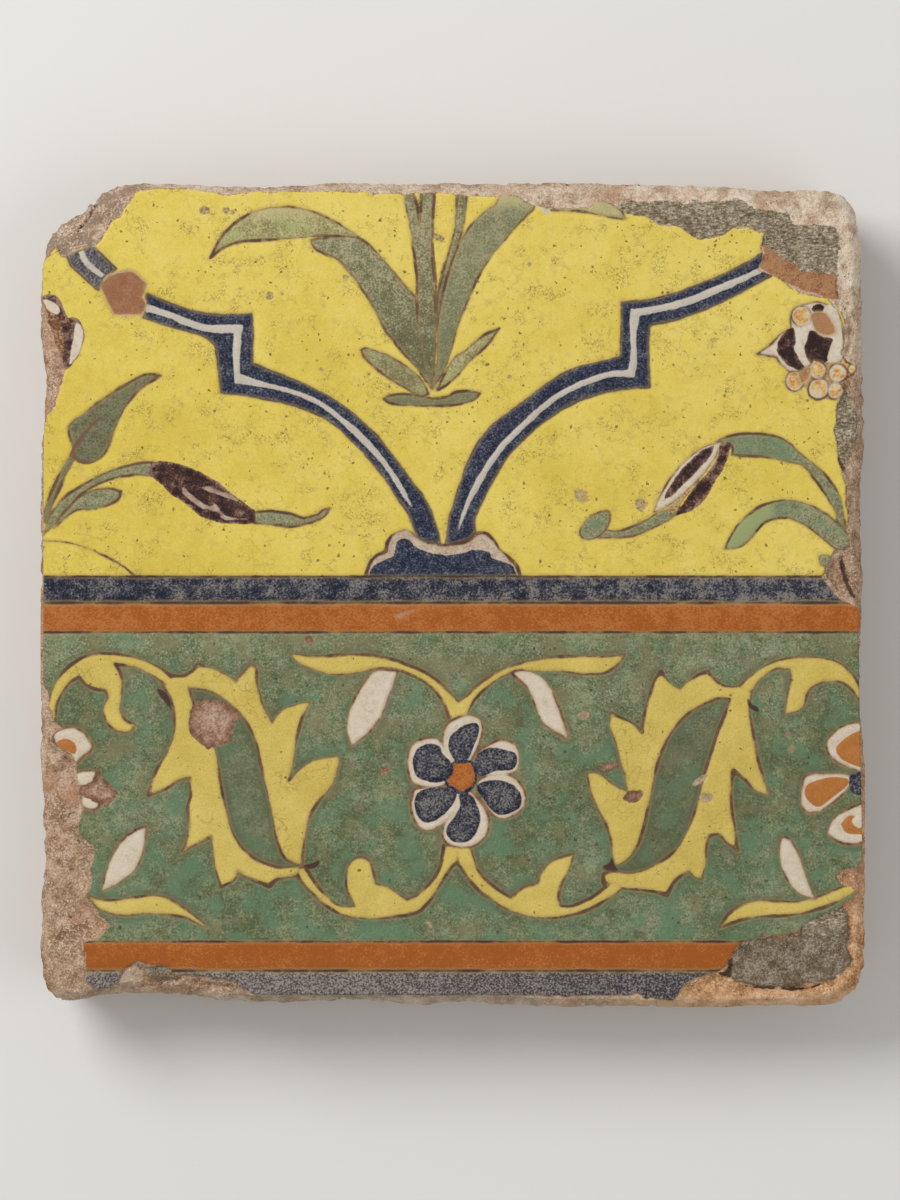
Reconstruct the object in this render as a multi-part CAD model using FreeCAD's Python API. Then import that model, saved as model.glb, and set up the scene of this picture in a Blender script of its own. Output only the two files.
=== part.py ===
"""Square glazed border tile, one fired earthenware slab lying on its back with the glazed face up.

The slab is a blank with worn sides, a broken corner and a sloping worn rim. The glazed face stands on it as a
low step: inside the step's outline the glaze is whole, outside it the glaze has flaked away to the bare clay.
Millimetres, +Z up. The origin is on the back, at the middle of the tile.
"""

import FreeCAD
import Part
import math
import os
from FreeCAD import Vector

# Driving dimensions
tile_width = 200.0  # X, over the least worn stretches of the two sides
tile_length = 200.0  # Y, over the least worn stretches of top and bottom
tile_thickness = 28.0  # from the back to the glazed face
glaze_step = 1.2  # how far the glazed face stands above the bare clay
rim_width = 2.2  # width of the worn slope round the clay's front edge
rim_drop = 3.0  # height of that slope
back_inset = 2.5  # how far the sides lean in by the time they reach the back

# The corner break: a slanting fracture across the upper left corner, measured from that corner
break_along_top = 24.0
break_down_side = 19.0
break_angle = 52.0  # degrees below the face

# Wear of each side, as depths below the nominal square at even stations, clockwise round the tile
top_wear = [0.3, 1.0, 0.1, 0.5, 0.0, 0.1, 0.4, 0.7, 1.6, 2.1]
right_wear = [2.0, 1.0, 0.9, 0.6, 1.3, 0.8, 1.0, 1.4, 0.3, 0.0, 0.2, 0.2]
bottom_wear = [0.5, 0.1, 0.0, 0.2, 0.3, 1.2, 1.0, 1.9, 1.1, 2.2, 3.6, 1.7]
left_wear = [0.5, 0.1, 1.0, 0.6, 0.1, 0.0, 0.1, 0.1, 0.0, 0.2, 1.3, 0.2]

# Where the even stations stop short of each corner, and how far each worn corner is rounded back
corner_reach = 10.0
right_corner_wear_above = 4.4
right_corner_wear_below = 3.4
left_corner_wear_below = 3.1

# The broken corner's outline, as (in from the left, down from the top), from the left side to the top
broken_corner = [(0.4, 24.0), (1.2, 16.5), (2.7, 13.0), (5.1, 9.7), (11.1, 6.3), (14.5, 2.9), (20.0, 0.6)]

# Outline of the glaze that is left, as distances in from each corner's two sides, clockwise. Each list starts
# on the side before its corner and ends on the side after it.
glaze_upper_left = [
    (1.3, 62.5), (1.5, 59.3), (2.4, 55.4), (4.7, 51.0), (5.1, 48.0), (5.6, 45.2), (3.4, 38.3), (1.4, 32.7),
    (0.9, 28.6), (1.1, 20.5), (2.4, 16.8), (4.1, 15.6), (5.6, 17.9), (7.3, 17.4), (9.9, 15.5), (12.7, 15.0),
    (14.2, 14.5), (16.0, 11.7), (17.8, 8.7), (19.4, 8.0), (22.0, 4.0), (23.2, 2.4), (25.9, 1.4), (30.3, 1.0),
    (38.6, 1.7), (44.0, 2.8), (53.5, 1.8),
]
glaze_upper_right = [
    (86.2, 3.0), (78.0, 5.8), (74.0, 6.4), (65.0, 5.3), (58.4, 7.0), (52.8, 8.2), (50.1, 9.9), (44.8, 10.9),
    (40.7, 13.3), (35.8, 13.3), (31.7, 10.9), (28.3, 10.7), (24.3, 12.0), (24.9, 17.4), (25.7, 20.8), (22.3, 22.5),
    (18.9, 24.6), (15.5, 26.6), (9.4, 28.0), (5.6, 31.5), (4.8, 38.3), (5.6, 41.6), (2.0, 44.6), (2.5, 46.5),
    (5.1, 50.8), (6.8, 53.8), (7.0, 62.5), (6.1, 68.0), (4.6, 74.6), (4.1, 83.0), (3.6, 88.6), (8.0, 89.8),
    (9.7, 93.2), (10.2, 95.6), (6.8, 100.7), (3.6, 101.7), (2.4, 103.1), (1.8, 106.0), (2.3, 109.0),
]
glaze_lower_right = [
    (1.2, 37.8), (1.9, 33.9), (6.8, 32.4), (7.3, 31.0), (3.9, 29.5), (1.2, 28.0), (4.8, 25.4), (8.7, 23.2),
    (12.3, 21.5), (15.5, 19.9), (16.0, 17.4), (25.2, 17.0), (28.6, 16.2), (32.0, 13.3), (33.7, 9.7), (39.2, 7.3),
    (42.9, 6.2), (45.0, 3.4), (46.5, 1.4), (53.5, 1.9), (55.0, 3.4), (57.9, 2.7),
]
glaze_lower_left = [
    (59.0, 2.7), (52.0, 2.9), (47.7, 5.4), (44.8, 8.3), (36.3, 9.4), (27.8, 10.2), (24.9, 10.9), (23.5, 10.4),
    (21.0, 9.4), (18.9, 5.6), (14.5, 4.4), (10.7, 5.6), (10.7, 16.0), (13.6, 17.0), (15.7, 18.9), (16.5, 20.3),
    (14.3, 22.5), (12.1, 25.4), (10.2, 27.1), (11.9, 29.0), (12.6, 31.0), (12.1, 33.9), (13.3, 36.0), (12.6, 39.5),
    (10.7, 40.4), (8.7, 42.4), (9.4, 46.0), (9.9, 48.2), (9.0, 52.8), (8.5, 58.0), (8.0, 65.4), (4.8, 67.3),
    (2.9, 70.2), (1.8, 73.1), (1.2, 79.4),
]

# Levels worked out from the driving dimensions
half_width = tile_width / 2
half_length = tile_length / 2
clay_front = tile_thickness - glaze_step
widest_level = clay_front - rim_drop


def from_corner(side_x, side_y, distances, level):
    """The point that lies these two distances in from the corner on sides side_x and side_y, each 1 or -1."""
    across, along = distances
    return Vector(side_x * (half_width - across), side_y * (half_length - along), level)


def even_stations(start, end, count):
    """Positions from start to end, evenly spaced."""
    return [start + (end - start) * i / (count - 1) for i in range(count)]


def side_curve(points):
    """A smooth edge through these points."""
    curve = Part.BSplineCurve()
    curve.interpolate(points)
    return curve.toShape()


def worn_outline(inset, level):
    """The blank's worn outline at a level, drawn in by inset all round, as a closed wire."""
    reach_x = half_width - corner_reach
    reach_y = half_length - corner_reach
    diagonal = inset / math.sqrt(2)
    broken = [from_corner(-1, 1, (a + diagonal, b + diagonal), level) for a, b in broken_corner]

    along_top = even_stations(broken[-1].x, reach_x, len(top_wear) + 1)[1:]
    down_right = even_stations(reach_y, -reach_y, len(right_wear))
    along_bottom = even_stations(reach_x, -reach_x, len(bottom_wear))
    up_left = even_stations(-reach_y, broken[0].y, len(left_wear) + 1)[:-1]

    top = [broken[-1]] + [Vector(x, half_length - w - inset, level) for x, w in zip(along_top, top_wear)]
    right = [Vector(half_width - w - inset, y, level) for y, w in zip(down_right, right_wear)]
    bottom = [Vector(x, -half_length + w + inset, level) for x, w in zip(along_bottom, bottom_wear)]
    left = [Vector(-half_width + w + inset, y, level) for y, w in zip(up_left, left_wear)] + [broken[0]]

    def rounded_corner(before, side_x, side_y, wear, after):
        middle = from_corner(side_x, side_y, (wear + inset, wear + inset), level)
        return Part.Arc(before, middle, after).toShape()

    edges = [
        side_curve(top),
        rounded_corner(top[-1], 1, 1, right_corner_wear_above, right[0]),
        side_curve(right),
        rounded_corner(right[-1], 1, -1, right_corner_wear_below, bottom[0]),
        side_curve(bottom),
        rounded_corner(bottom[-1], -1, -1, left_corner_wear_below, left[0]),
        side_curve(left),
        side_curve(broken),
    ]
    return Part.Wire(edges)


def tile_blank():
    """The clay slab: from the back out to its widest, then in up the worn rim to the clay's front."""
    sections = [
        worn_outline(back_inset, 0.0),
        worn_outline(0.0, widest_level),
        worn_outline(rim_width, clay_front),
    ]
    return Part.makeLoft(sections, True, True)


def glazed_face():
    """The step of glaze that is left, from inside the rim up to the face."""
    level = widest_level
    outline = [from_corner(-1, 1, d, level) for d in glaze_upper_left]
    outline += [from_corner(1, 1, d, level) for d in glaze_upper_right]
    outline += [from_corner(1, -1, d, level) for d in glaze_lower_right]
    outline += [from_corner(-1, -1, d, level) for d in glaze_lower_left]
    face = Part.Face(Part.makePolygon(outline + outline[:1]))
    return face.extrude(Vector(0, 0, tile_thickness - widest_level))


def corner_break():
    """What the fracture took off the upper left corner: all that lies above a plane that falls away outwards
    from the line between the break's two ends, at the level of the clay's front."""
    start = from_corner(-1, 1, (break_along_top, 0.0), clay_front)
    end = from_corner(-1, 1, (0.0, break_down_side), clay_front)
    along = (end - start).normalize()
    outward = Vector(0, 0, 1).cross(along) * -1
    fall = Vector(0, 0, -1) * math.tan(math.radians(break_angle))
    reach = break_along_top + break_down_side
    top_of_cut = Vector(0, 0, tile_thickness)
    a = start - along * reach
    down = (outward + fall) * reach
    profile = Part.makePolygon([a, a + down, a + outward * reach + top_of_cut, a + top_of_cut, a])
    return Part.Face(profile).extrude(along * ((end - start).Length + 2 * reach))


def tile_blank_column():
    """The blank's widest outline carried straight up to the face, which keeps the glaze inside the sides."""
    return Part.Face(worn_outline(0.0, widest_level)).extrude(Vector(0, 0, tile_thickness))


def border_tile():
    """The blank with its corner broken, and the glazed face standing on it, as one solid."""
    broken_blank = tile_blank().cut(corner_break())
    face = glazed_face().common(tile_blank_column())
    return broken_blank.fuse(face).removeSplitter().Solids[0]


os.makedirs("parts", exist_ok=True)
tile = border_tile()
tile.exportStep("parts/border_tile.step")
box = tile.BoundBox
print("valid", tile.isValid(), "solids", len(tile.Solids), "faces", len(tile.Faces))
print("size", box.XLength, box.YLength, box.ZLength, "volume", tile.Volume)
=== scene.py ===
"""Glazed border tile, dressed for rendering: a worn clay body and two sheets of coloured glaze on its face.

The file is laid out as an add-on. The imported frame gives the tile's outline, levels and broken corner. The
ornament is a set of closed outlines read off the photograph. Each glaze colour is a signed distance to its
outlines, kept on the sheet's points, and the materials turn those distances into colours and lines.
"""

import math
from types import SimpleNamespace

import bpy
import numpy as np
from bpy.props import FloatProperty, FloatVectorProperty, PointerProperty
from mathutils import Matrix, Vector


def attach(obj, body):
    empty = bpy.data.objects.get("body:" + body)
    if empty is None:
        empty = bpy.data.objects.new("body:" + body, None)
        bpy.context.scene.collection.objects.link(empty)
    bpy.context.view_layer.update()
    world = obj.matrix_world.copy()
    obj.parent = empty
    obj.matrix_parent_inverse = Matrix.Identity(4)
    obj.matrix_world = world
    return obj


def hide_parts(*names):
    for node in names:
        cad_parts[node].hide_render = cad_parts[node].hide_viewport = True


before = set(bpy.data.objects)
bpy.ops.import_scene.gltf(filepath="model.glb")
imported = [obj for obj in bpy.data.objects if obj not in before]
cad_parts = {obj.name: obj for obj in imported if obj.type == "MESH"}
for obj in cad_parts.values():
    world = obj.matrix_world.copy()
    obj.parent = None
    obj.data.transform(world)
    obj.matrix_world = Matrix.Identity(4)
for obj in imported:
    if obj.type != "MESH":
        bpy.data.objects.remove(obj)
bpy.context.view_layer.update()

bl_info = {
    "name": "Glazed border tile",
    "version": (1, 0, 0),
    "blender": (4, 5, 0),
    "location": "View3D > Sidebar > Tile",
    "description": "Worn earthenware tile with a plant panel above a banded scroll border",
    "category": "Object",
}

CAD_NODE = "border_tile"
MM = 0.001

# How the photograph is read: pixels for one millimetre, and the pixel at the middle of the tile
PHOTO_SCALE = 4.13
PHOTO_MIDDLE = (453.0, 595.0)
PHOTO_SIZE = (900.0, 1200.0)
SEAM_ROW = 576.5  # where the panel ends and the border's first band starts

# Outlines in photograph pixels. An outline with one run of points is smooth all round. One with more runs
# is smooth along each, with a corner at the last point of a run, where the next run starts.

# The two halves of the arch that frames the plant, each a ribbon of cobalt with a white line along it
ARCH = {
    "left half": [[(168, 302), (192, 310), (217, 314), (253, 313)], [(253.5, 340), (252.5, 363)],
        [(273, 371), (295, 380), (318, 390), (337, 401), (359, 418), (382, 441), (399, 463), (413, 482),
         (426, 500), (433.5, 516), (439.5, 536), (441, 549)], [(419, 549)], [(417, 538), (412, 525),
         (407, 512), (396, 497), (385, 480), (368, 459), (351, 441), (334, 425), (315, 414), (289, 405),
         (267, 400), (244, 396), (220.5, 393.5)], [(218, 369), (215, 345)],
        [(202, 336), (188, 332), (166, 326), (143, 318)], [(146, 292)]],
    "left end": [[(93, 245)], [(117, 269)], [(112, 273), (100, 289)], [(96, 289), (70, 265)], [(65, 255)]],
    "right half": [[(446, 536), (449, 516), (454.5, 500), (465, 468), (479, 441), (496, 421), (516, 407),
         (535, 392), (558, 376), (580, 366), (603, 360.5), (619.5, 356)], [(621, 328), (620.5, 302)],
        [(642, 300), (664, 296), (692, 286), (720, 275), (743, 264), (763, 252)], [(772, 276)],
        [(749, 289), (723, 302), (698, 313), (673, 321), (650, 325.5)], [(649, 356), (650.5, 388)],
        [(631, 389), (606, 393), (580, 401), (558, 412.5), (533, 432), (510, 455), (493, 482), (484, 500),
         (476.5, 515), (475, 525), (478, 549)], [(445.5, 549)]],
}

ARCH_LINE = {
    "left half": [[(168, 310), (190, 319), (207, 323.5), (244, 324)], [(241, 350), (241, 373)], [(261, 380),
         (283, 386), (303, 392), (324, 402), (345, 418), (368, 438), (388, 462), (403, 485), (412, 503),
         (414, 509)], [(408, 505), (396, 487), (382, 466), (363, 445), (342, 425), (321, 408), (300, 398),
         (280, 391.5), (258, 387), (234, 384)], [(232, 356), (233, 334)],
        [(208, 333), (188, 327), (166, 318), (145, 312)], [(146, 303)]],
    "left end": [[(84, 249)], [(90, 261), (106, 275)], [(101, 279)], [(91, 272), (82, 263), (77, 251)]],
    "right half": [[(462, 511), (469, 492), (482, 468), (499, 444), (522, 421), (545, 401), (568, 386),
         (591, 376), (612, 370), (628, 369)], [(630, 349), (629, 328), (630, 308)],
        [(658, 304.5), (686, 297), (714, 286), (737, 277), (761, 266)], [(763, 273)],
        [(738, 285), (716, 295), (688, 306), (660, 313), (640, 316)], [(637, 340), (638, 360), (635, 378)],
        [(612, 378), (592, 384), (570, 393), (548, 408), (527, 427), (505, 449), (488, 474), (474, 498),
         (467, 512), (459, 532)], [(456.5, 531)]],
}

# The scalloped foot that the arch stands on, drawn on past the panel's lower edge
FOOT = {
    "foot": [[(370.5, 563), (376.5, 556), (386, 551)],
        [(387.5, 542.5), (391, 536.5), (398.5, 531.5), (406, 529.5), (412, 532.5)],
        [(418, 539), (427.5, 542.5), (440, 545), (455, 544), (469, 540.5), (476, 533.5)],
        [(484.5, 533), (493, 539), (499, 548.5)], [(511, 559.5), (517, 566.5), (519.5, 573)], [(522, 600)],
        [(364, 600)], [(366.5, 573)]],
}
FOOT_CORE = {
    "foot's core": [[(373.5, 566), (383.5, 560.5), (394, 556)], [(395.5, 546), (399, 540), (408.5, 539.5)],
        [(416, 547), (428, 552.5), (443, 555), (460, 554), (474, 549.5), (489.5, 551.5)],
        [(492, 557.5), (501, 561), (511, 565), (516.5, 573)], [(517, 600)], [(369, 600)], [(370, 573)]],
}

# The lily's leaves, in two layers so that leaves that touch keep their own drawn lines
LILY_BEHIND = {
    "right blade": [[(437, 360), (437.5, 328), (440, 300), (445, 278), (454, 256), (463, 237), (474, 222),
         (484, 212), (497, 203)], [(502, 188)], [(538, 190)], [(534, 209)], [(517, 226), (505, 240),
         (491, 257), (477, 280), (467, 303), (458, 326), (451.5, 350), (445, 369), (433, 389)]],
    "ground": [
        [(391, 395), (407, 394), (421, 396), (433, 398), (446, 397), (456, 392), (468, 391), (481, 393)],
        [(474, 400), (461, 404), (446, 405.5), (431, 406), (408, 405.5), (391, 403.5), (384, 399)]],
}

LILY_BEFORE = {
    "left blade": [[(334, 236), (356, 237.5), (368, 244), (382, 258), (394, 272), (406, 287), (416, 297)],
        [(418, 320), (424, 350), (431, 388)], [(421, 374), (404, 354), (387, 333), (374, 309), (360, 286),
         (347, 270), (337, 259), (318, 251), (309, 240)]],
    "stems in the middle": [[(411.5, 187)], [(417, 207), (419.5, 226)], [(421, 207), (421.5, 187)],
        [(434.5, 187)], [(433, 225), (432.5, 253), (434, 281), (436, 326), (435, 362), (432, 389)],
        [(424, 360), (418, 330), (417, 297), (417, 281), (414, 253), (409, 222), (402, 189)]],
    "thin right stem": [[(467, 187)],
        [(465, 216), (460, 239), (452, 262), (445, 285), (440, 310), (436.5, 332)],
        [(436.5, 302), (443, 272), (451, 244), (455.5, 222), (457.5, 187)]],
}

PALE_LEAVES = {
    "small left leaf": [[(367, 348.5), (382, 353), (396, 360), (412, 370), (422, 381), (429, 394)],
        [(419, 396), (409, 390), (394, 382), (379, 371), (366, 359), (361, 350)]],
    "small right leaf": [[(483, 336), (466, 350), (455, 357), (446, 371), (437, 390)],
        [(448, 384), (460, 373), (474, 357), (489, 343), (499.5, 328)]],
    "left leaf's fold": [[(222, 236), (239, 220), (261, 209.5), (286, 206.5), (312, 211), (334, 221),
         (351, 231), (363, 241)],
        [(334, 236), (309, 236.5), (286, 239), (258, 240.5), (240, 242), (225, 247), (210, 258)]],
    "right leaf's end": [
        [(566, 207), (585, 206), (592, 203), (601, 200), (612, 203), (620, 209), (626.5, 219)],
        [(616, 218.5), (598, 214.5), (584, 211.5), (566, 210.5), (548, 210.5)]],
}

# Leaves and stalks of the four flowers that reach in from the sides
SIDE_LEAVES = {
    "left bud's stalk": [[(51, 515), (65, 497), (88, 482), (110, 471), (133, 464.5), (154, 462)],
        [(153, 476)], [(133, 475), (116, 478), (99, 484), (82, 494), (66, 510), (52, 527), (44, 534)]],
    "left bud's tip": [[(267.5, 511), (290.5, 514), (303, 518), (316, 515), (323.5, 510), (330.5, 508.5)],
        [(323.5, 517.5), (312, 522.5), (293, 527), (280, 525.5), (254, 523)], [(254, 512.5)]],
    "right bud's stalk": [[(722, 438.5), (733, 435), (749, 433.5), (771, 435), (788, 442), (805, 457),
         (820, 469), (833, 485), (842, 502), (846, 530)],
        [(838, 523), (835, 511), (827, 497), (813, 477), (802, 465), (788, 462), (763, 457), (732, 455)],
        [(731, 446), (716, 442)]],
    "right leaf": [
        [(735, 529), (749, 514), (766, 504), (785, 500), (805, 503), (825, 513), (841, 526), (852, 540)],
        [(852, 556)], [(841, 552), (830, 545), (816, 533), (802, 523.5), (788, 518.5), (774, 519),
         (762, 525), (752, 537), (740, 547), (724.5, 549.5)]],
    "tail bud": [[(607, 511), (596, 513.5), (586, 520.5), (580, 531), (583, 538), (593, 539), (603, 533),
         (608.5, 525), (610.5, 516)]],
    "edge leaf": [[(820, 556), (828, 555), (833, 560), (829, 566), (821, 565)]],
}

SIDE_STALKS = {
    "left leaflet": [[(64, 513), (76, 499), (92, 491), (108, 488.5), (121, 491.5)],
        [(118, 499), (106, 506), (93, 509), (78, 510), (68, 516), (54, 528)]],
    "right bud's tail": [[(662, 511), (648, 519), (634, 526), (620, 530.5), (603, 530)], [(598, 538)],
        [(622, 537.5), (637, 535), (653, 528), (670, 519.5), (683, 507)]],
}

HEART_LEAF = {
    "heart leaf": [[(146, 374.5), (130, 382), (106, 397), (84, 413), (70.5, 424), (69, 433), (73, 447)],
        [(73.5, 457), (81, 462.5), (93, 462), (104, 455), (111, 441), (118, 421), (129, 402), (143, 387),
         (161, 375.5)]],
    "heart leaf's stalk": [[(66, 462), (56.5, 480), (48, 500), (42, 518)],
        [(47, 524), (52, 506), (60, 488), (68, 471), (76, 458)], [(73, 450)]],
}

# The rib that runs on from the stalk into the heart leaf
LEAF_RIBS = {
    "heart leaf's rib": [[(73, 446), (79, 437.5), (88, 427), (98, 418.5), (106, 414)],
        [(97, 422), (89, 431), (83, 440), (76, 449), (74.5, 459)], [(69, 456)]],
    "heart leaf's lower edge": [[(74, 459), (80, 463), (91, 463.5), (99, 460.5)],
        [(90, 461), (82, 460), (77, 456.5), (75.5, 452)], [(72, 455)]],
    "lily's middle line": [[(435.5, 262), (437, 285), (438, 310), (438.5, 328)],
        [(435.5, 310), (434.5, 285), (433, 262), (431, 243)], [(434, 243)]],
}

# Petals: white ground first, then the dark petals on it, then the white streaks on those
FLOWER_WHITE = {
    "right flower": [[(770, 345), (781, 334), (791, 328)], [(790.5, 317), (796, 307.5), (806, 304),
         (819, 302), (833, 308), (841, 320), (843.5, 337), (845, 353), (837, 364), (822, 365), (808, 367),
         (795, 373.5), (783, 366), (776, 357)], [(757, 354)]],
    "right bud": [[(715, 443.5), (704, 447), (690, 457), (676, 471), (664.5, 488), (657, 503), (654, 512)],
        [(664, 508), (675, 501), (690, 489), (704, 473), (714, 460), (719, 449), (722, 441)]],
}

FLOWER_DARK = {
    "left flower, upper petal": [[(38, 299.5), (46, 295), (55, 295.5), (61, 301.5), (64.5, 311), (67, 320),
         (60, 321), (53, 315), (46, 311), (38, 305)]],
    "left flower, lower petal": [[(62, 321), (72, 317.5), (79, 320.5), (83.5, 330), (84.5, 339), (80, 353),
         (71, 366), (65, 370), (58, 368), (57, 352), (56, 336), (56, 326)]],
    "right flower, left petal": [[(790, 328), (794.5, 329), (795.5, 343), (794.5, 350), (805.5, 368),
         (801.5, 371.5), (787.5, 364.5), (776.5, 350), (783, 334)]],
    "right flower, right petal": [[(809, 331.5), (814, 330.5), (823, 336.5), (833, 339), (830.5, 346.5),
         (827, 361.5), (811.5, 364), (804.5, 350), (806.5, 341.5)]],
    "right flower, cap": [
        [(811.5, 309), (814, 305), (819.5, 303.5), (824.5, 306.5), (822, 311.5), (814.5, 312.5)]],
    "left bud": [[(151, 463.5), (163, 461.5), (176, 463), (194, 469), (207, 476), (217, 481.5), (226, 489),
         (236, 497), (246, 504), (255, 510.5)], [(256, 522.5)], [(242, 524.5), (225, 523.5), (213, 521),
         (200, 516), (190, 507.5), (181, 500.5), (171, 494), (161, 484), (155, 479.5), (148.5, 473)]],
    "right bud, left petal": [[(704, 449), (693, 458), (679.5, 472), (668, 489), (663.5, 500)],
        [(673, 495), (686, 482.5), (699, 469), (711, 455.5), (715, 445)]],
    "right bud, right petal": [[(728, 442.5), (731.5, 445), (729, 454), (724, 467), (715, 482), (706, 497),
         (696.5, 507), (684, 513), (676.5, 515)],
        [(682, 505), (690, 494), (697, 483.5), (709, 471), (716.5, 459), (719.5, 446)]],
}

STREAKS = {
    "flake by the right blade": [
        [(534.5, 198), (540, 199), (546, 205.5), (551.5, 213), (546, 214), (539.5, 208)]],
    "left flower, upper petal": [
        [(40, 302), (44.5, 299.5), (50, 301), (57, 305), (60.5, 311), (56.5, 314.5), (50, 311)]],
    "left flower, lower petal": [
        [(76, 324), (81, 326.5), (83, 336), (80, 351), (70.5, 364), (70, 356), (73, 339)]],
    "right flower, middle": [[(806.5, 335), (805.5, 341.5), (803, 346.5), (804.5, 353), (809, 366.5),
         (804.5, 364), (794.5, 350), (795.5, 344), (800, 338)]],
    "right flower, right petal": [[(825.5, 306), (832, 305), (838, 313), (842, 336.5), (838, 358),
         (833, 362), (828, 359.5), (829.5, 350), (837, 330), (833.5, 321.5), (828, 314)]],
}
BUD_STREAKS = {
    "long streak": [
        [(186, 489.5), (200, 502), (209, 506), (216.5, 505), (223.5, 514), (232, 517.5), (249.5, 519.5)],
        [(229, 520), (221.5, 518), (217.5, 512.5), (201, 507.5), (193.5, 502), (184.5, 494.5),
         (181.5, 487)]],
    "short streak": [[(207.5, 486.5), (229, 494.5), (241, 502.5)], [(216.5, 494.5), (197.5, 487)],
        [(205, 487), (202.5, 482)]],
    "fleck": [[(186, 505), (189, 503), (191, 505.5), (188, 507)]],
}

# Bare tan places among the petals
TAN_PLACES = {
    "right bud's strip": [[(707.5, 467.5), (693, 483.5), (674.5, 502), (668, 507)],
        [(673.5, 513), (685, 498), (699.5, 478), (714, 461.5), (718, 452)]],
    "left bud's strip": [[(189, 486), (198, 489.5), (210, 497), (214, 502), (204, 499), (194, 493)]],
    "beads' ground": [[(799, 374), (806, 369), (815, 364), (826, 363), (837, 362), (846, 365), (848, 378),
         (845, 392), (837, 399), (825, 399), (811, 396), (804, 388), (797, 386)]],
}

# Round beads of the right flower: middle and radius in pixels
BEADS = [(801.5, 316, 10), (795, 381, 9.6), (817, 370.5, 9), (818.5, 389, 10.5), (838, 373, 9.3),
         (835.5, 391, 8.3), (853, 369.5, 5)]

# Grey spots where a little glaze is gone: outlines, then round ones as middle and radius
FLECKS = {
    "upper fleck": [[(573, 489), (579, 488.5), (587, 494.5), (590, 501), (583, 504), (577, 499.5)]],
    "lower fleck": [[(636, 501), (641, 498.5), (647.5, 503), (644, 511), (637.5, 509.5)]],
    "scratch on the stems": [
        [(416, 229.5), (431, 232.5), (444, 238), (447, 244.5), (440, 242), (428, 236.5)]],
}
SPOTS = [(204, 210.5, 4.5), (270.5, 296, 4), (282, 294, 2.5), (321.5, 370, 2), (369, 374, 2.3),
         (386.5, 329, 2.3), (367, 401.5, 1.8), (345, 276.5, 2.2), (529.5, 264, 2.2), (510, 377.5, 2),
         (225, 211, 3.5), (234, 213, 2.5), (408, 258, 2.2), (346.5, 276.5, 2.2)]

# The thin line that cuts off the panel's lower left corner: the edge of what lies under it
CORNER_LINE = {
    "corner line": [[(46, 541), (65, 542), (88, 548.5), (110, 558.5), (124, 567), (137, 578)], [(137, 610)],
        [(30, 610)], [(36, 541)]],
}

# Smooth reddish repairs, the grey crust and the mortar, where the glaze is gone
PANEL_FILL = {
    "left repair": [[(128, 270.5), (136, 273), (147, 284)], [(143, 297)], [(146, 305), (142, 315)],
        [(114, 315)], [(108, 303), (100, 288)], [(106, 277), (118, 272)]],
    "flower repair": [[(812, 314), (823, 312.5), (829.5, 318), (834.5, 327.5), (835.5, 333), (827, 335.5),
         (819, 333), (814, 326.5)]],
    "bead repair": [[(799, 374.5), (805, 368), (811.5, 367), (810.5, 375), (806, 382), (801, 383)]],
}
PANEL_CHIP = {
    "left chip": [[(46, 309), (52, 315), (59, 319), (61.5, 329), (64, 343), (62.5, 357), (61, 371)],
        [(38, 372)], [(38, 306)]],
    "right chip": [[(843, 357), (850, 355), (858, 361), (851, 364.5), (846, 362.5)]],
    "right chip below": [[(847.5, 376), (858, 375), (858, 393), (847, 394), (841.5, 385.5)]],
}
BODY_FILL = {
    "right repair": [[(774, 240), (787, 247), (794, 257), (808, 267), (837, 276)], [(839, 300)],
        [(813, 293), (788, 284), (774, 277), (760, 267)], [(764, 254), (762, 245)]],
}
CRUST = {
    "upper right crust": [
        [(650, 201), (681, 200), (715, 201), (743, 200.5), (752, 206), (785, 213), (791, 224)],
        [(815, 225), (838, 227)], [(840, 250), (838, 275)],
        [(800, 268), (780, 255), (755, 245), (720, 250), (680, 240), (619, 230)], [(619, 202)]],
    "right edge crust": [
        [(836, 393), (848, 395), (856, 408), (857, 436), (850, 452), (846, 470), (842, 468), (836, 440)]],
    "mortar's pale end": [[(803, 925), (812, 913), (824, 906), (838, 905), (846, 914), (846, 930),
         (832, 937), (816, 936), (806, 932)]],
}
MORTAR = {
    "lower right mortar": [[(775, 938), (800, 935)], [(806, 923), (833, 908), (843, 909), (849, 924)],
        [(849, 953), (853, 962)], [(827, 979.5), (792, 986), (762, 987), (742, 983)],
        [(726, 971), (733, 965), (729, 956), (749, 937)]],
    # A darker grey patch beside the stone, laid with the mortar
    "grey patch by the stone": [
        [(143, 968), (152, 964.5), (165, 965), (177, 970), (182, 976), (168, 980), (150, 979)]],
}
STONE = {
    "lower left stone": [[(115, 976), (118, 968), (124, 964), (134, 966), (141, 972), (142, 980),
         (138, 986), (128, 987.5), (119.5, 985.5)]],
}

# Dark crevices in the broken corner, along the right edge and by the mortar: cut into the clay and painted
# dark, a painted shade in the cracks and a painted shadow under the mortar
CREVICE = {
    "corner crevice": [[(76, 232), (80, 226), (84.5, 219), (88.5, 213), (91, 206), (95, 201), (99, 200),
         (96, 206.5), (92.5, 212), (87.5, 219.5), (82, 227), (78, 232.5)]],
    "mortar's shadow": [[(740, 984.5), (752, 986.5), (766, 987), (782, 988), (800, 988), (814, 986),
         (822, 983), (814, 988.5), (800, 990.5), (781, 990), (760, 989), (748, 988)]],
    "mortar's left edge": [
        [(728.5, 957), (732, 957), (731.5, 967), (730.5, 979), (727.5, 977), (718, 973), (727, 970)]],
    "right crevice": [[(841.5, 556), (844.5, 565), (846.5, 575), (851, 587), (855, 597), (851.5, 596),
         (846, 584), (842.5, 572), (840, 562)]],
    "upper right crevice": [[(838.5, 455), (841.5, 461), (846, 469), (843.5, 470.5), (839.5, 465)]],
}

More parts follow.
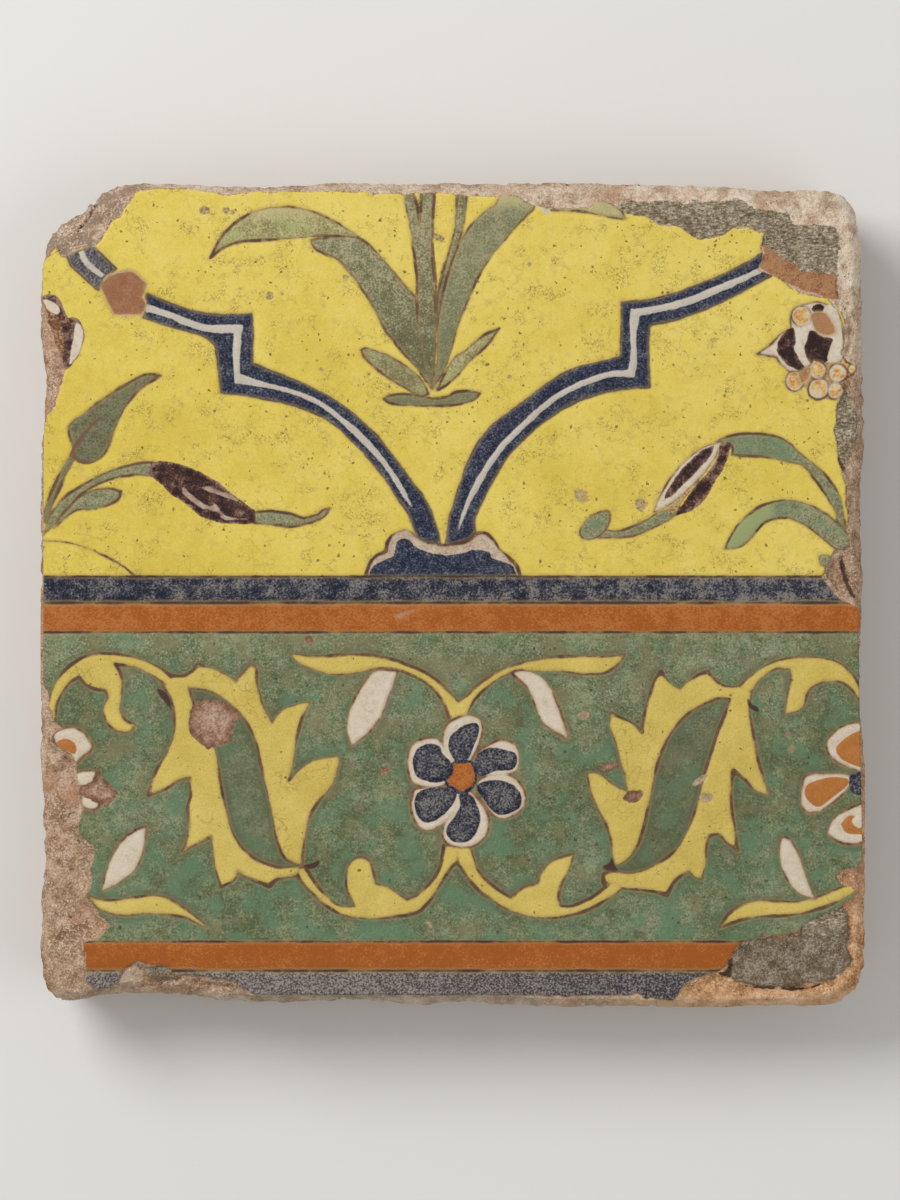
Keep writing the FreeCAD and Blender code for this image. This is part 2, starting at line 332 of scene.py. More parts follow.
# The border's bands, as the pixel rows of their upper and lower edges
COBALT_BANDS = {"upper cobalt": (SEAM_ROW, 602.7), "lower cobalt": (971.0, 1020.0)}
ORANGE_BANDS = {"upper orange": (603.3, 632.3), "lower orange": (941.7, 970.4)}

# Yellow scrolls and leaves of the border
SCROLLS = {
    "upper pair": [[(313, 656.5), (342, 655), (366, 655), (388, 658.5), (411, 666), (431, 676), (446, 689),
         (458.5, 702)], [(467, 696), (476, 687), (493, 674.5), (513, 665.5), (534, 660.5), (558, 657),
         (581, 656.5), (604, 656.5), (624.5, 655)], [(618, 664), (606, 672.5), (584, 674), (563, 671.5),
         (537, 671), (517, 672), (501, 677.5), (487, 687.5), (475, 699.5), (468, 712), (465.5, 722)],
        [(450.5, 722)], [(445, 706), (436, 692), (422, 680.5), (402, 671.5), (384, 668.5), (369, 670),
         (348, 674), (331, 674), (313, 669), (298, 662), (290, 653.5)]],
    "lower left": [[(440, 867), (431, 882.5), (419, 894), (407, 900)], [(398, 894), (387, 887), (376, 884)],
        [(373, 871), (369, 861), (360, 857.5), (351, 862), (346.5, 874), (347, 889), (356, 907)],
        [(340, 906), (325, 894.5), (313, 880), (306, 868), (301, 865)], [(296, 871), (304, 885), (316, 897),
         (331, 909), (349, 916.5), (372, 918.5), (396, 916.5), (416, 913), (428, 903), (440, 885.5),
         (451, 868), (458, 862)], [(462, 845)], [(444, 845)]],
    "lower right": [[(469, 845)], [(473, 856), (477.5, 869.5), (488, 881.5), (500, 891), (511.5, 898)],
        [(523, 887.5), (537, 883.5), (542, 873), (553, 861), (573.5, 854)],
        [(569, 869.5), (562, 883), (558.5, 897), (561, 906)],
        [(572, 906), (590, 898.5), (604, 888.5), (614, 880)], [(622, 888), (610, 897.5), (595, 906.5),
         (578, 913.5), (557, 917.5), (537, 917.5), (517, 913), (502.5, 907), (491.5, 899.5), (479.5, 891),
         (470, 880.5), (462, 869), (458, 864)], [(454, 845)]],
    "left curl": [[(46.5, 712), (50, 697), (56, 683), (67, 668.5), (81, 658.5), (96, 654), (117, 654),
         (137, 658.5), (152, 664), (167, 673), (180, 684)],
        [(170, 694), (163, 683), (149, 673), (134, 667), (115, 664)],
        [(120, 672), (122.5, 684), (121, 698), (119.5, 710), (125, 720), (135, 725)],
        [(130, 732), (120, 731.5), (111, 727), (105, 718.5), (103.5, 709), (108, 698)],
        [(105, 691), (96, 689.5), (86, 685), (79, 677)],
        [(69, 683.5), (61, 695), (56, 708), (54, 724), (46, 728)]],
    "right curl": [[(751, 676), (765, 666), (780, 660), (801, 657), (821, 658), (839, 663), (851, 673),
         (858, 683), (863, 698), (866, 712)], [(860, 701), (851, 689), (839, 682), (824, 681.5)],
        [(812, 687.5), (807, 695), (803.5, 706), (795, 712), (785.5, 713.5)],
        [(787.5, 695), (791, 678), (790, 669)], [(777, 669), (765, 675), (757, 683.5), (750, 694)],
        [(738, 687)]],
    "lower left leaf": [
        [(96, 898.5), (117, 900), (137, 897), (152, 895.5), (167, 898), (181, 906), (196, 917), (206, 927)],
        [(184, 917.5), (167, 915), (146, 913.5), (128, 915.5), (111, 913.5), (96, 906), (80, 890)]],
    "lower right leaf": [
        [(729, 914), (742, 905), (760, 900.5), (777, 901), (795, 902), (813, 898), (830, 892), (854, 882)],
        [(855, 891), (842, 899), (827, 906), (807, 912), (786, 915.5), (766, 916.5), (748, 918.5),
         (720, 927)]],
}

JAGGED_LEAVES = {
    "left leaf": [[(184, 676), (192, 671), (198, 665)], [(211, 668), (225, 674.5), (236, 681)],
        [(242, 674), (250.5, 664.5)], [(256, 669), (257, 683), (260.5, 698), (266, 712.5), (272, 723)],
        [(282, 711), (296, 705), (309.5, 702.5)], [(302, 718), (297, 736), (293, 760), (289, 780)],
        [(302, 768), (316, 760), (338.5, 756.5)],
        [(338, 768), (331, 786), (319, 801), (310, 816), (305, 836), (303, 853), (301, 869)],
        [(297, 875.5), (278, 879), (269, 886)], [(255, 881), (245, 876.5), (238, 871)],
        [(234, 880), (221, 887)], [(216, 871), (213.5, 853), (211, 837)], [(202, 841.5), (183.5, 851)],
        [(188.5, 833), (188.5, 818), (188, 806), (190.5, 795), (189.5, 778.5)],
        [(178.5, 780), (167, 788.5), (148.5, 795)],
        [(156, 771), (168, 751), (174, 733), (174, 712.5), (170, 697), (163, 686)], [(171, 676)]],
    "right leaf": [[(729, 687), (718, 682), (708, 671.5)], [(698, 675), (688, 682), (680.5, 689.5)],
        [(672, 685), (661, 672)], [(655, 680.5), (649.5, 695), (645, 712.5), (642, 732)],
        [(632, 723), (611, 713.5)], [(610, 727), (616, 742), (620.5, 760), (625, 777), (628, 792)],
        [(613, 784.5), (600, 774.5), (587.5, 773)],
        [(590, 789), (598.5, 809.5), (607, 827), (611.5, 842), (613, 856), (616, 870)],
        [(604, 874), (604, 883)], [(622, 888.5), (639.5, 890), (653, 891.5), (667, 895)],
        [(675, 881), (689.5, 871)], [(695, 877), (702, 879)], [(705.5, 862), (706.5, 845), (710, 835.5)],
        [(719, 834.5), (726, 842), (737, 850)], [(735, 830), (732, 809), (731, 789), (733.5, 771)],
        [(745, 780), (754, 789), (768, 795.5)],
        [(763, 777), (757, 754), (752.5, 730), (749.5, 707), (752, 692)], [(744, 686)]],
}

LEAF_CORES = {
    "left core": [[(208, 690.5), (225, 699.5), (239, 712.5), (249, 727), (256, 742), (260, 760),
         (263.5, 777), (268, 795), (272, 812), (275, 830), (278.5, 845), (286, 859), (303, 867)],
        [(278, 867), (260.5, 862), (246, 852), (236, 839), (228.5, 821), (224, 800.5), (220, 780),
         (217, 760), (213.5, 747.5), (206, 735), (196, 712), (189, 688)]],
    "right core": [[(718.5, 698.5), (704, 704), (689.5, 712.5), (677.5, 724.5), (667.5, 739), (660, 756.5),
         (655.5, 771), (652, 789), (647.5, 809), (644, 827), (636.5, 847.5), (624, 862), (604, 868)],
        [(624, 873), (642, 871), (660, 862), (675, 850.5), (686.5, 833), (692.5, 818), (698, 800.5),
         (701, 789), (705.5, 771), (710, 756.5), (716, 736), (724.5, 715.5), (730.5, 698.5)]],
}

# White leaves and petals, then the cobalt and the orange that lie on the petals
WHITE_SHAPES = {
    "upper left leaf": [[(376, 671), (362, 686), (351.5, 706.5), (347, 727), (351.5, 746)],
        [(366, 735), (379, 720), (387, 701), (392.5, 685), (398, 671)]],
    "upper right leaf": [[(521, 670), (537, 674.5), (549, 686), (557.5, 704), (565, 724.5), (568, 739)],
        [(557, 733), (543, 723), (535.5, 706.5), (528, 689), (517, 678.5), (510, 673)]],
    "lower left leaf": [[(106.5, 871), (114, 853), (124, 838.5), (136, 830), (146.5, 826.5)],
        [(145, 842), (140.5, 859), (134, 871), (122.5, 880), (111, 887), (102, 890.5)]],
    "lower right leaf": [
        [(780.5, 840), (785, 837), (791, 841), (797, 850), (802.5, 866), (808, 883), (816, 899.5)],
        [(799, 893), (787.5, 880), (781, 865), (780, 852)]],
    "top petal": [[(443, 745), (444.5, 729), (453, 720), (466, 715.5), (478, 718), (482.5, 730),
         (478.5, 747), (471, 760), (466, 764.5), (456, 764.5), (447, 757)]],
    "upper right petal": [[(476.5, 765), (478, 752), (488.5, 745), (501.5, 739.5), (515, 745), (519, 757),
         (517, 770), (507, 774.5), (490, 776), (479, 777)]],
    "lower right petal": [[(476.5, 784.5), (487, 775.5), (501.5, 772.5), (515, 778.5), (524, 790),
         (525.5, 802), (518, 812.5), (504.5, 818.5), (494, 815.5), (484, 803)]],
    "bottom petal": [[(457.5, 794), (469.5, 791), (481, 803), (488.5, 818), (487, 834.5), (475.5, 845),
         (460.5, 847.5), (447, 843.5), (442.5, 833), (447, 818), (453, 806)]],
    "lower left petal": [[(412.5, 795), (416, 788.5), (431, 787), (453, 789), (460, 798), (453.5, 814),
         (442, 824.5), (428, 830.5), (417, 824.5), (411, 809.5)]],
    "upper left petal": [[(408, 756.5), (411.5, 746), (422, 739), (437, 738.5), (444, 747), (454.5, 759),
         (457.5, 771), (445.5, 785), (428, 788), (414, 783.5), (408, 771)]],
    "left edge petal": [[(53, 735), (61, 728.5), (73, 727.5), (83.5, 733), (91, 743), (92, 749), (83, 757),
         (74, 765), (70, 755), (58, 748)]],
    "left edge chip": [[(75.5, 774), (87.5, 771), (98, 773.5), (100, 783), (98, 795), (99, 806.5),
         (90.5, 809.5), (81.5, 803.5), (83, 792), (77, 783)]],
    "right edge, upper petal": [[(863, 723), (849, 724), (834.5, 731.5), (826.5, 743), (830, 755.5),
         (842, 764.5), (864, 772.5), (872, 773)], [(872, 722)]],
    "right edge, middle petal": [[(802, 787), (806.5, 775.5), (827, 773.5), (848, 775), (850.5, 783),
         (839, 798), (821.5, 810), (808, 812.5), (801.5, 803)]],
    "right edge, lower petal": [[(834.5, 818), (848, 809), (862, 803.5), (872, 801)], [(872, 839)],
        [(865, 842), (851, 844.5), (836, 840.5), (827, 833)]],
}

COBALT_SHAPES = {
    "top petal": [[(448.5, 747.5), (450, 737), (457, 730), (465, 725), (476.5, 723), (479, 733), (474, 746),
         (468, 759), (458, 762), (451.5, 756)]],
    "upper right petal": [[(475.5, 767), (477.5, 754), (490, 747.5), (503, 749), (515, 753.5), (517, 762.5),
         (512, 770), (496, 771), (481, 776.5)]],
    "lower right petal": [[(477, 787.5), (484, 781.5), (498.5, 780), (512, 784.5), (521.5, 795), (519, 808),
         (503, 815), (493, 811), (484, 800.5)]],
    "bottom petal": [[(459.5, 794), (471, 795), (477.5, 806), (480.5, 818), (476.5, 832), (468, 841.5),
         (454.5, 842), (446.5, 834), (447.5, 826), (455, 816), (460, 806)]],
    "lower left petal": [[(416, 796), (423, 789.5), (440, 787.5), (455, 790.5), (456, 798), (450, 808.5),
         (440, 818), (427, 823), (419, 818.5), (415, 808)]],
    "upper left petal": [[(413, 759.5), (419, 747.5), (430.5, 743.5), (439.5, 746.5), (442.5, 753.5),
         (451, 762.5), (452.5, 774), (442.5, 781.5), (428, 781.5), (416, 775.5)]],
    "rosette's ground": [
        [(453, 762), (471.5, 761), (477.5, 775), (474, 787), (462, 795), (445, 784), (450, 772)]],
    "right edge flower": [[(859.5, 771.5), (872, 772.5)], [(872, 795)],
        [(859.5, 795), (850.5, 790.5), (849, 776)]],
}

ORANGE_SHAPES = {
    "rosette's middle": [[(471, 763)], [(475.5, 775)], [(472, 785), (462, 792)], [(446, 781.5)],
        [(454, 773)], [(453, 764)]],
    "left edge petal": [[(57, 742), (67, 739), (75.5, 744), (75, 754), (67, 751), (60, 748)]],
    "right edge, upper petal": [
        [(864, 729.5), (851, 734.5), (836, 747.5), (843, 760), (864, 769), (872, 769.5)], [(872, 728)]],
    "right edge, middle petal": [[(808, 784.5), (827, 777.5), (846, 778), (848, 784.5), (836, 795),
         (821.5, 806), (812.5, 805), (805, 795)]],
    "right edge, lower petal": [[(847.5, 816.5), (857, 815)],
        [(852, 821), (858, 827.5), (866, 825.5), (872, 825)], [(872, 833)],
        [(862.5, 834.5), (847.5, 833), (840.5, 824)]],
}

# Places in the border where the glaze has flaked off
SCARS = {
    "leaf scar": [[(196, 701), (211, 699.5), (226, 703.5), (239, 715), (232, 730)],
        [(230, 742), (208, 750)], [(196, 740), (189, 727), (190, 709.5)]],
    "left flower scar": [[(103.5, 777), (118, 793)], [(108, 806), (99, 804), (78.5, 795)],
        [(79, 786), (91, 781), (97.5, 768)]],
    "red lens": [[(598, 767), (610, 762.5), (620.5, 765), (616, 770), (604, 772)]],
    "brown lens": [[(623, 799), (630.5, 791), (642.5, 791.5), (640, 799), (631, 803)]],
    "upper speck": [[(304, 640), (309, 636.5), (314, 640), (310, 645)]],
    "middle speck": [[(379, 770), (384, 767.5), (390, 768), (386, 773.5), (380, 774)]],
}

# Shallow dull flakes in the green and on the orange
DULL_SCARS = {
    "right scar": [[(578, 716), (582, 711), (588, 711.5), (589, 716), (584, 720)]],
    "low dash": [[(427, 922), (432, 926), (436, 931.5), (430, 928)]],
    "right speck": [[(785, 735), (788, 731), (791, 735), (789, 739)]],
    "right speck below": [[(787, 749), (791, 745), (795, 748), (792, 753)]],
    "orange scrape": [[(395, 616), (404, 612), (414, 610), (408, 615), (398, 618)]],
}

# Greyish chips on the right jagged leaf
PALE_SCARS = {
    "core chip": [[(692, 784.5), (698, 777), (707, 774), (705.5, 780), (698, 784.5)]],
    "limb chip": [[(701, 795), (707, 792.5), (713, 795), (711, 801), (703, 802)]],
}

# Thick ends of lines, where the brush was set down at a leaf's joints
INK_DROPS = {
    "right hook": [[(748, 699), (752, 704), (757.5, 706.5), (759.5, 712), (754, 711), (748.5, 706.5)]],
    "right joint": [[(612, 857), (615, 866), (619, 870.5), (610, 869.5), (603, 866.5), (609, 863)]],
    "left hook": [[(157, 689), (164, 691), (169.5, 699), (172, 712), (166, 703), (160, 696)]],
    "left joint": [[(303, 866), (312, 863), (320, 860.5), (316.5, 867), (308, 869)]],
}

# Places where the glaze reaches further out than the flat of the frame's face
KEPT_GLAZE = {
    "right side": [[(874, 604)], [(874, 868)], [(845, 868)], [(845, 604)]],
    "left side": [[(60, 410)], [(62, 640), (58, 672), (52, 690)], [(34, 696)], [(34, 410)]],
    "left petal": [[(49, 741), (55, 730), (66, 724.5), (80, 727), (93, 742), (85, 757), (75, 766),
         (71, 755), (59, 749)]],
    "left flower": [[(54, 254)], [(52, 309), (44, 306), (34, 303)], [(34, 254)]],
    "leaf's end": [
        [(588, 208), (594, 202), (602, 199.5), (613, 202), (621, 208), (628, 220), (600, 222), (588, 215)]],
    "lower band": [[(245, 966)], [(245, 985)], [(225, 981), (205, 979), (185, 977.5), (172, 976.5)],
        [(170, 966)]],
}


def linear(red, green, blue):
    """A colour given as 0 to 255 screen values, as the linear values that shaders work in."""
    screen = np.array((red, green, blue)) / 255.0
    curve = np.where(screen <= 0.04045, screen / 12.92, ((screen + 0.055) / 1.055) ** 2.4)
    return tuple(float(v) for v in curve)


# Reading the frame

def node_mesh(name):
    """A CAD node's points in millimetres and its triangles, with points that share a place made one."""
    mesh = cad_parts[name].data
    flat = np.empty(len(mesh.vertices) * 3, np.float32)
    mesh.vertices.foreach_get("co", flat)
    points, merged = np.unique(np.round(flat.reshape(-1, 3) / MM, 3), axis=0, return_inverse=True)
    mesh.calc_loop_triangles()
    corners = np.empty(len(mesh.loop_triangles) * 3, np.int32)
    mesh.loop_triangles.foreach_get("vertices", corners)
    return points, merged.ravel()[corners].reshape(-1, 3)


def section(points, triangles, level):
    """Where a level plane cuts the triangles, as segments: on each triangle that has points on both sides
    of it, the two edges that cross it are cut in the share of their heights."""
    corner = points[triangles]
    above = corner[:, :, 2] > level
    cut = np.nonzero((above.any(1)) & (~above.all(1)))[0]
    corner, above = corner[cut], above[cut]
    following = np.roll(corner, -1, axis=1)
    crossing = above != np.roll(above, -1, axis=1)
    rise = following[:, :, 2] - corner[:, :, 2]
    share = (level - corner[:, :, 2]) / np.where(crossing, rise, 1.0)
    place = corner[:, :, :2] + share[:, :, None] * (following[:, :, :2] - corner[:, :, :2])
    return place[crossing].reshape(-1, 2, 2)


def level_border(points, triangles, level):
    """The border of the flat part at a level, as segments: the edges that only one of its triangles has."""
    flat = triangles[np.all(np.abs(points[triangles][:, :, 2] - level) < 0.01, axis=1)]
    edges = np.sort(np.concatenate([flat[:, [0, 1]], flat[:, [1, 2]], flat[:, [2, 0]]]), axis=1)
    edges, uses = np.unique(edges, axis=0, return_counts=True)
    return points[edges[uses == 1]][:, :, :2]


TILE_POINTS, TILE_TRIANGLES = node_mesh(CAD_NODE)
FACE_LEVEL = float(TILE_POINTS[:, 2].max())
WIDEST_LEVEL = float(TILE_POINTS[np.abs(TILE_POINTS[:, 0]).argmax(), 2])
BETWEEN = TILE_POINTS[(TILE_POINTS[:, 2] > WIDEST_LEVEL + 0.5) & (TILE_POINTS[:, 2] < FACE_LEVEL - 0.5)]
CLAY_LEVEL = float(np.bincount(np.round(BETWEEN[:, 2] * 100).astype(int)).argmax()) / 100
RIM_LEVEL = CLAY_LEVEL - 0.8
GLAZE_BORDER = level_border(TILE_POINTS, TILE_TRIANGLES, FACE_LEVEL)
RIM_BORDER = section(TILE_POINTS, TILE_TRIANGLES, RIM_LEVEL)
SHEET_FLOOR = RIM_LEVEL - 1.4
SEAM = (PHOTO_MIDDLE[1] - SEAM_ROW) / PHOTO_SCALE


def reach_of(segments, angle):
    """How far out a ray at each angle last meets the segments. With the ray's direction d and a segment
    from a to b, the ray meets it at r = cross(a, b - a) / cross(d, b - a), where the share along it is
    from 0 to 1."""
    direction = np.stack([np.cos(angle), np.sin(angle)], -1)[:, None, :]
    start, span = segments[None, :, 0], (segments[:, 1] - segments[:, 0])[None]
    slope = direction[..., 0] * span[..., 1] - direction[..., 1] * span[..., 0]
    slope = np.where(np.abs(slope) < 1e-9, 1e-9, slope)
    out = (start[..., 0] * span[..., 1] - start[..., 1] * span[..., 0]) / slope
    share = (start[..., 0] * direction[..., 1] - start[..., 1] * direction[..., 0]) / slope
    met = (share > -1e-4) & (share < 1.0001) & (out > 0)
    return np.where(met, out, 0.0).max(1)


# Outlines and fields. A field is a signed distance in millimetres, held between the first two values
FIELD_REACH = 4.0
OUTSIDE = -FIELD_REACH
KNOT_REACH = 1.1


def smooth_run(points, closed, steps=6):
    """Points along a Catmull-Rom curve: each span is a cubic through its two ends, and the slope at a
    point is half the way from the point before it to the one after it. An open run leaves out its last."""
    given = np.asarray(points, float)
    if closed:
        ring = np.vstack([given[-1:], given, given[:2]])
    else:
        ring = np.vstack([2 * given[0] - given[1], given, 2 * given[-1] - given[-2]])
    a, b, c, d = ring[:-3], ring[1:-2], ring[2:-1], ring[3:]
    t = np.linspace(0, 1, steps, endpoint=False)[:, None, None]
    curve = 0.5 * (2 * b + (c - a) * t + (2 * a - 5 * b + 4 * c - d) * t ** 2
                   + (3 * b - a - 3 * c + d) * t ** 3)
    return curve.transpose(1, 0, 2).reshape(-1, 2)


def to_tile(pixels):
    """Photograph pixels as millimetres on the tile: x to the right, y up the picture."""
    pixels = np.asarray(pixels, float)
    return np.stack([pixels[..., 0] - PHOTO_MIDDLE[0], PHOTO_MIDDLE[1] - pixels[..., 1]], -1) / PHOTO_SCALE


def traced(runs):
    """A closed outline on the tile as segments, from runs of photograph pixels."""
    if len(runs) == 1:
        ring = smooth_run(runs[0], closed=True)
    else:
        whole = [runs[i - 1][-1:] + run for i, run in enumerate(runs)]
        ring = np.concatenate([smooth_run(run, closed=False) for run in whole])
    ring = to_tile(ring)
    return np.stack([ring, np.roll(ring, -1, axis=0)], 1)


def inside_distance(x, y, segments, reach=FIELD_REACH):
    """Distance in millimetres to the nearest segment, at most reach: positive where a ray to the right
    crosses the segments an odd number of times, which is inside, and negative outside."""
    low, high = segments.min((0, 1)) - reach, segments.max((0, 1)) + reach
    near = np.nonzero((x > low[0]) & (x < high[0]) & (y > low[1]) & (y < high[1]))
    px, py = x[near], y[near]
    nearest = np.full(px.shape, reach * reach)
    inside = np.zeros(px.shape, bool)
    for (ax, ay), (bx, by) in segments:
        ux, uy = bx - ax, by - ay
        share = np.clip(((px - ax) * ux + (py - ay) * uy) / max(ux * ux + uy * uy, 1e-12), 0, 1)
        np.minimum(nearest, (px - ax - share * ux) ** 2 + (py - ay - share * uy) ** 2, out=nearest)
        if uy != 0:
            inside ^= ((ay > py) != (by > py)) & (px < ax + (py - ay) * ux / uy)
    field = np.full(x.shape, -reach)
    field[near] = np.where(inside, 1, -1) * np.sqrt(nearest)
    return field


def shape_field(x, y, shapes):
    """The field of several outlines: at each point the largest of their signed distances."""
    return np.max([inside_distance(x, y, traced(runs)) for runs in shapes.values()], axis=0)


def bead_field(x, y, beads):
    """The field of round beads: at each point the largest of radius less distance from a bead's middle."""
    place = np.array(beads, float)
    middle, radius = to_tile(place[:, :2]), place[:, 2] / PHOTO_SCALE
    away = np.hypot(x[..., None] - middle[:, 0], y[..., None] - middle[:, 1])
    return np.maximum((radius - away).max(-1), OUTSIDE)


def knots(x, y, shapes):
    """Where the corners of the outlines are: exp(-(d / KNOT_REACH)^2) at a distance d from a corner."""
    corners = to_tile([run[-1] for runs in shapes.values() if len(runs) > 1 for run in runs])
    nearest = np.full(x.shape, 100.0)
    for across, up in corners:
        np.minimum(nearest, (x - across) ** 2 + (y - up) ** 2, out=nearest)
    return np.exp(-nearest / KNOT_REACH ** 2)


def band_field(y, bands):
    """The field of straight bands: the lesser distance in from a band's edges, largest over the bands."""
    edges = np.array(list(bands.values()))
    upper, lower = ((PHOTO_MIDDLE[1] - edges) / PHOTO_SCALE).T
    return np.clip(np.minimum(upper - y[..., None], y[..., None] - lower).max(-1), OUTSIDE, FIELD_REACH)


def smooth_step(value, low, high):
    """0 below low, 1 above high, and the cubic 3t^2 - 2t^3 between."""
    t = np.clip((value - low) / (high - low), 0, 1)
    return t * t * (3 - 2 * t)


def grain(x, y, size, seed):
    """Smooth seeded noise from -1 to 1: random values on a lattice of that size in millimetres, blended
    between the four corners of a lattice square with the cubic 3t^2 - 2t^3 of the place in it."""
    values = np.random.default_rng(seed).uniform(-1, 1, (256, 256))
    u, v = x / size + 1000.37, y / size + 1000.61
    column, row = np.floor(u).astype(int), np.floor(v).astype(int)
    s, t = smooth_step(u - column, 0, 1), smooth_step(v - row, 0, 1)
    left, right = column % 256, (column + 1) % 256
    low, high = row % 256, (row + 1) % 256
    below = values[low, left] * (1 - s) + values[low, right] * s
    above = values[high, left] * (1 - s) + values[high, right] * s
    return below * (1 - t) + above * t


def roughness_of(x, y, seed):
    """Broken-clay relief from about -1 to 1: creased grain, 1 - 2 |g| for a grain g, at two sizes, and
    plain grain at two finer ones."""
    wide_crease = 1 - 2 * np.abs(grain(x, y, 6.0, seed))
    crease = 1 - 2 * np.abs(grain(x, y, 2.7, seed + 1))
    return (0.4 * wide_crease + 0.3 * crease + 0.25 * grain(x, y, 1.2, seed + 2)
            + 0.15 * grain(x, y, 0.7, seed + 3) - 0.2)


# The clay and the glaze as heights over the tile: what is built up on the clay and cut into it, and the
# widths of its rim slope and of the grooves along the drawn lines
BUILT_UP = {"fill": 0.75, "mortar": 0.95, "stone": 0.9, "crust": 0.6}
CREVICE_DEPTH = 0.8
SCAR_DEPTH = 0.4
RIM_SLOPE = 0.6
GROOVE_WIDTH = 0.45


def glaze_edge(x, y):
    """Signed distance to the glaze's border in the frame, or to that of the glaze kept past it where it is
    larger, roughened by grain as flaked glaze is."""
    border = np.maximum(inside_distance(x, y, GLAZE_BORDER), shape_field(x, y, KEPT_GLAZE))
    return border + 0.42 * grain(x, y, 2.6, 11) + 0.25 * grain(x, y, 1.1, 12) + 0.12 * grain(x, y, 0.6, 13)


def ground_fields(x, y):
    """Fields of what lies on the bare clay, their edges made uneven by grain at three sizes."""
    uneven = 0.6 * grain(x, y, 2.6, 81) + 0.5 * grain(x, y, 1.1, 82) + 0.3 * grain(x, y, 0.6, 83)
    layers = {"fill": (BODY_FILL, 0.3), "crust": (CRUST, 0.9), "mortar": (MORTAR, 0.8),
              "stone": (STONE, 0.4), "crevice": (CREVICE, 0.4)}
    return {label: shape_field(x, y, shapes) + shift * uneven for label, (shapes, shift) in layers.items()}


def clay_height(x, y, edge, fields, sizes):
    """Level of the clay's front: the frame's rim slope up to the clay level, less the broken relief, with
    mortar, stone and crust built up on it, and up to just under the glaze inside the glaze's border."""
    inset = inside_distance(x, y, RIM_BORDER)
    rim = RIM_LEVEL + (CLAY_LEVEL - RIM_LEVEL) * np.clip(inset / RIM_SLOPE, 0, 1)
    relief = sizes["clay_relief"] * (0.3 + roughness_of(x, y, 21))
    smooth = smooth_step(fields["fill"], -0.3, 0.4)
    bare = rim - np.clip(relief, -0.35, 2.0) * smooth_step(inset, -0.2, 1.2) * (1 - 0.85 * smooth)
    bare += BUILT_UP["fill"] * smooth * smooth_step(inset, 0, 1.5)
    lumps = 0.6 + 0.5 * roughness_of(x, y, 31)
    bare += smooth_step(fields["mortar"], -0.4, 0.6) * BUILT_UP["mortar"] * lumps
    bare += smooth_step(fields["stone"], -0.4, 1.2) * BUILT_UP["stone"]
    ridges = 0.6 + 0.4 * grain(x, y, 0.7, 41)
    bare += smooth_step(fields["crust"], -0.5, 0.5) * BUILT_UP["crust"] * ridges
    bare -= smooth_step(fields["crevice"], -0.3, 0.3) * CREVICE_DEPTH
    under = FACE_LEVEL - sizes["glaze_skin"]
    rise = smooth_step(edge, -1.3, -0.25)
    return np.minimum(bare + (under - bare) * rise, FACE_LEVEL - 0.05)


# Making meshes: points round the clay body, and points across and along each glaze sheet
STATIONS = 900
SHEET_COLUMNS = 440
PANEL_ROWS = 208
BORDER_ROWS = 218
HALF_SIDE = 100.0


def mesh_object(name, points, quads, triangles, values, corner_places=None):
    """A mesh object at the origin from points in millimetres, with faces, named values on its points and,
    where places are given, a flat map with a place for each corner of its faces."""
    mesh = bpy.data.meshes.new(name)
    mesh.vertices.add(len(points))
    mesh.vertices.foreach_set("co", (points * MM).astype(np.float32).ravel())
    corners = np.concatenate([quads.ravel(), triangles.ravel()]).astype(np.int32)
    starts = np.concatenate([np.arange(len(quads)) * 4, len(quads) * 4 + np.arange(len(triangles)) * 3])
    mesh.loops.add(len(corners))
    mesh.loops.foreach_set("vertex_index", corners)
    mesh.polygons.add(len(starts))
    mesh.polygons.foreach_set("loop_start", starts.astype(np.int32))
    mesh.update(calc_edges=True)
    if corner_places is not None:
        layer = mesh.uv_layers.new(name="OFBake")
        layer.uv.foreach_set("vector", corner_places.astype(np.float32).ravel())
    for label, value in values.items():
        layer = mesh.attributes.new(label, "FLOAT", "POINT")
        layer.data.foreach_set("value", value.astype(np.float32).ravel())
    mesh.polygons.foreach_set("use_smooth", np.ones(len(starts), bool))
    if mesh.validate():
        raise RuntimeError(name + " has faces that do not fit together")
    piece = bpy.data.objects.new(name, mesh)
    bpy.context.scene.collection.objects.link(piece)
    return piece


def ring_faces(rows, stations, first):
    """Quads between neighbouring rings of points, as indices from first on, each ring closed on itself."""
    row, column = np.meshgrid(np.arange(rows - 1), np.arange(stations), indexing="ij")
    following = (column + 1) % stations
    quad = [row * stations + column, row * stations + following, (row + 1) * stations + following,
            (row + 1) * stations + column]
    return first + np.stack(quad, -1).reshape(-1, 4)


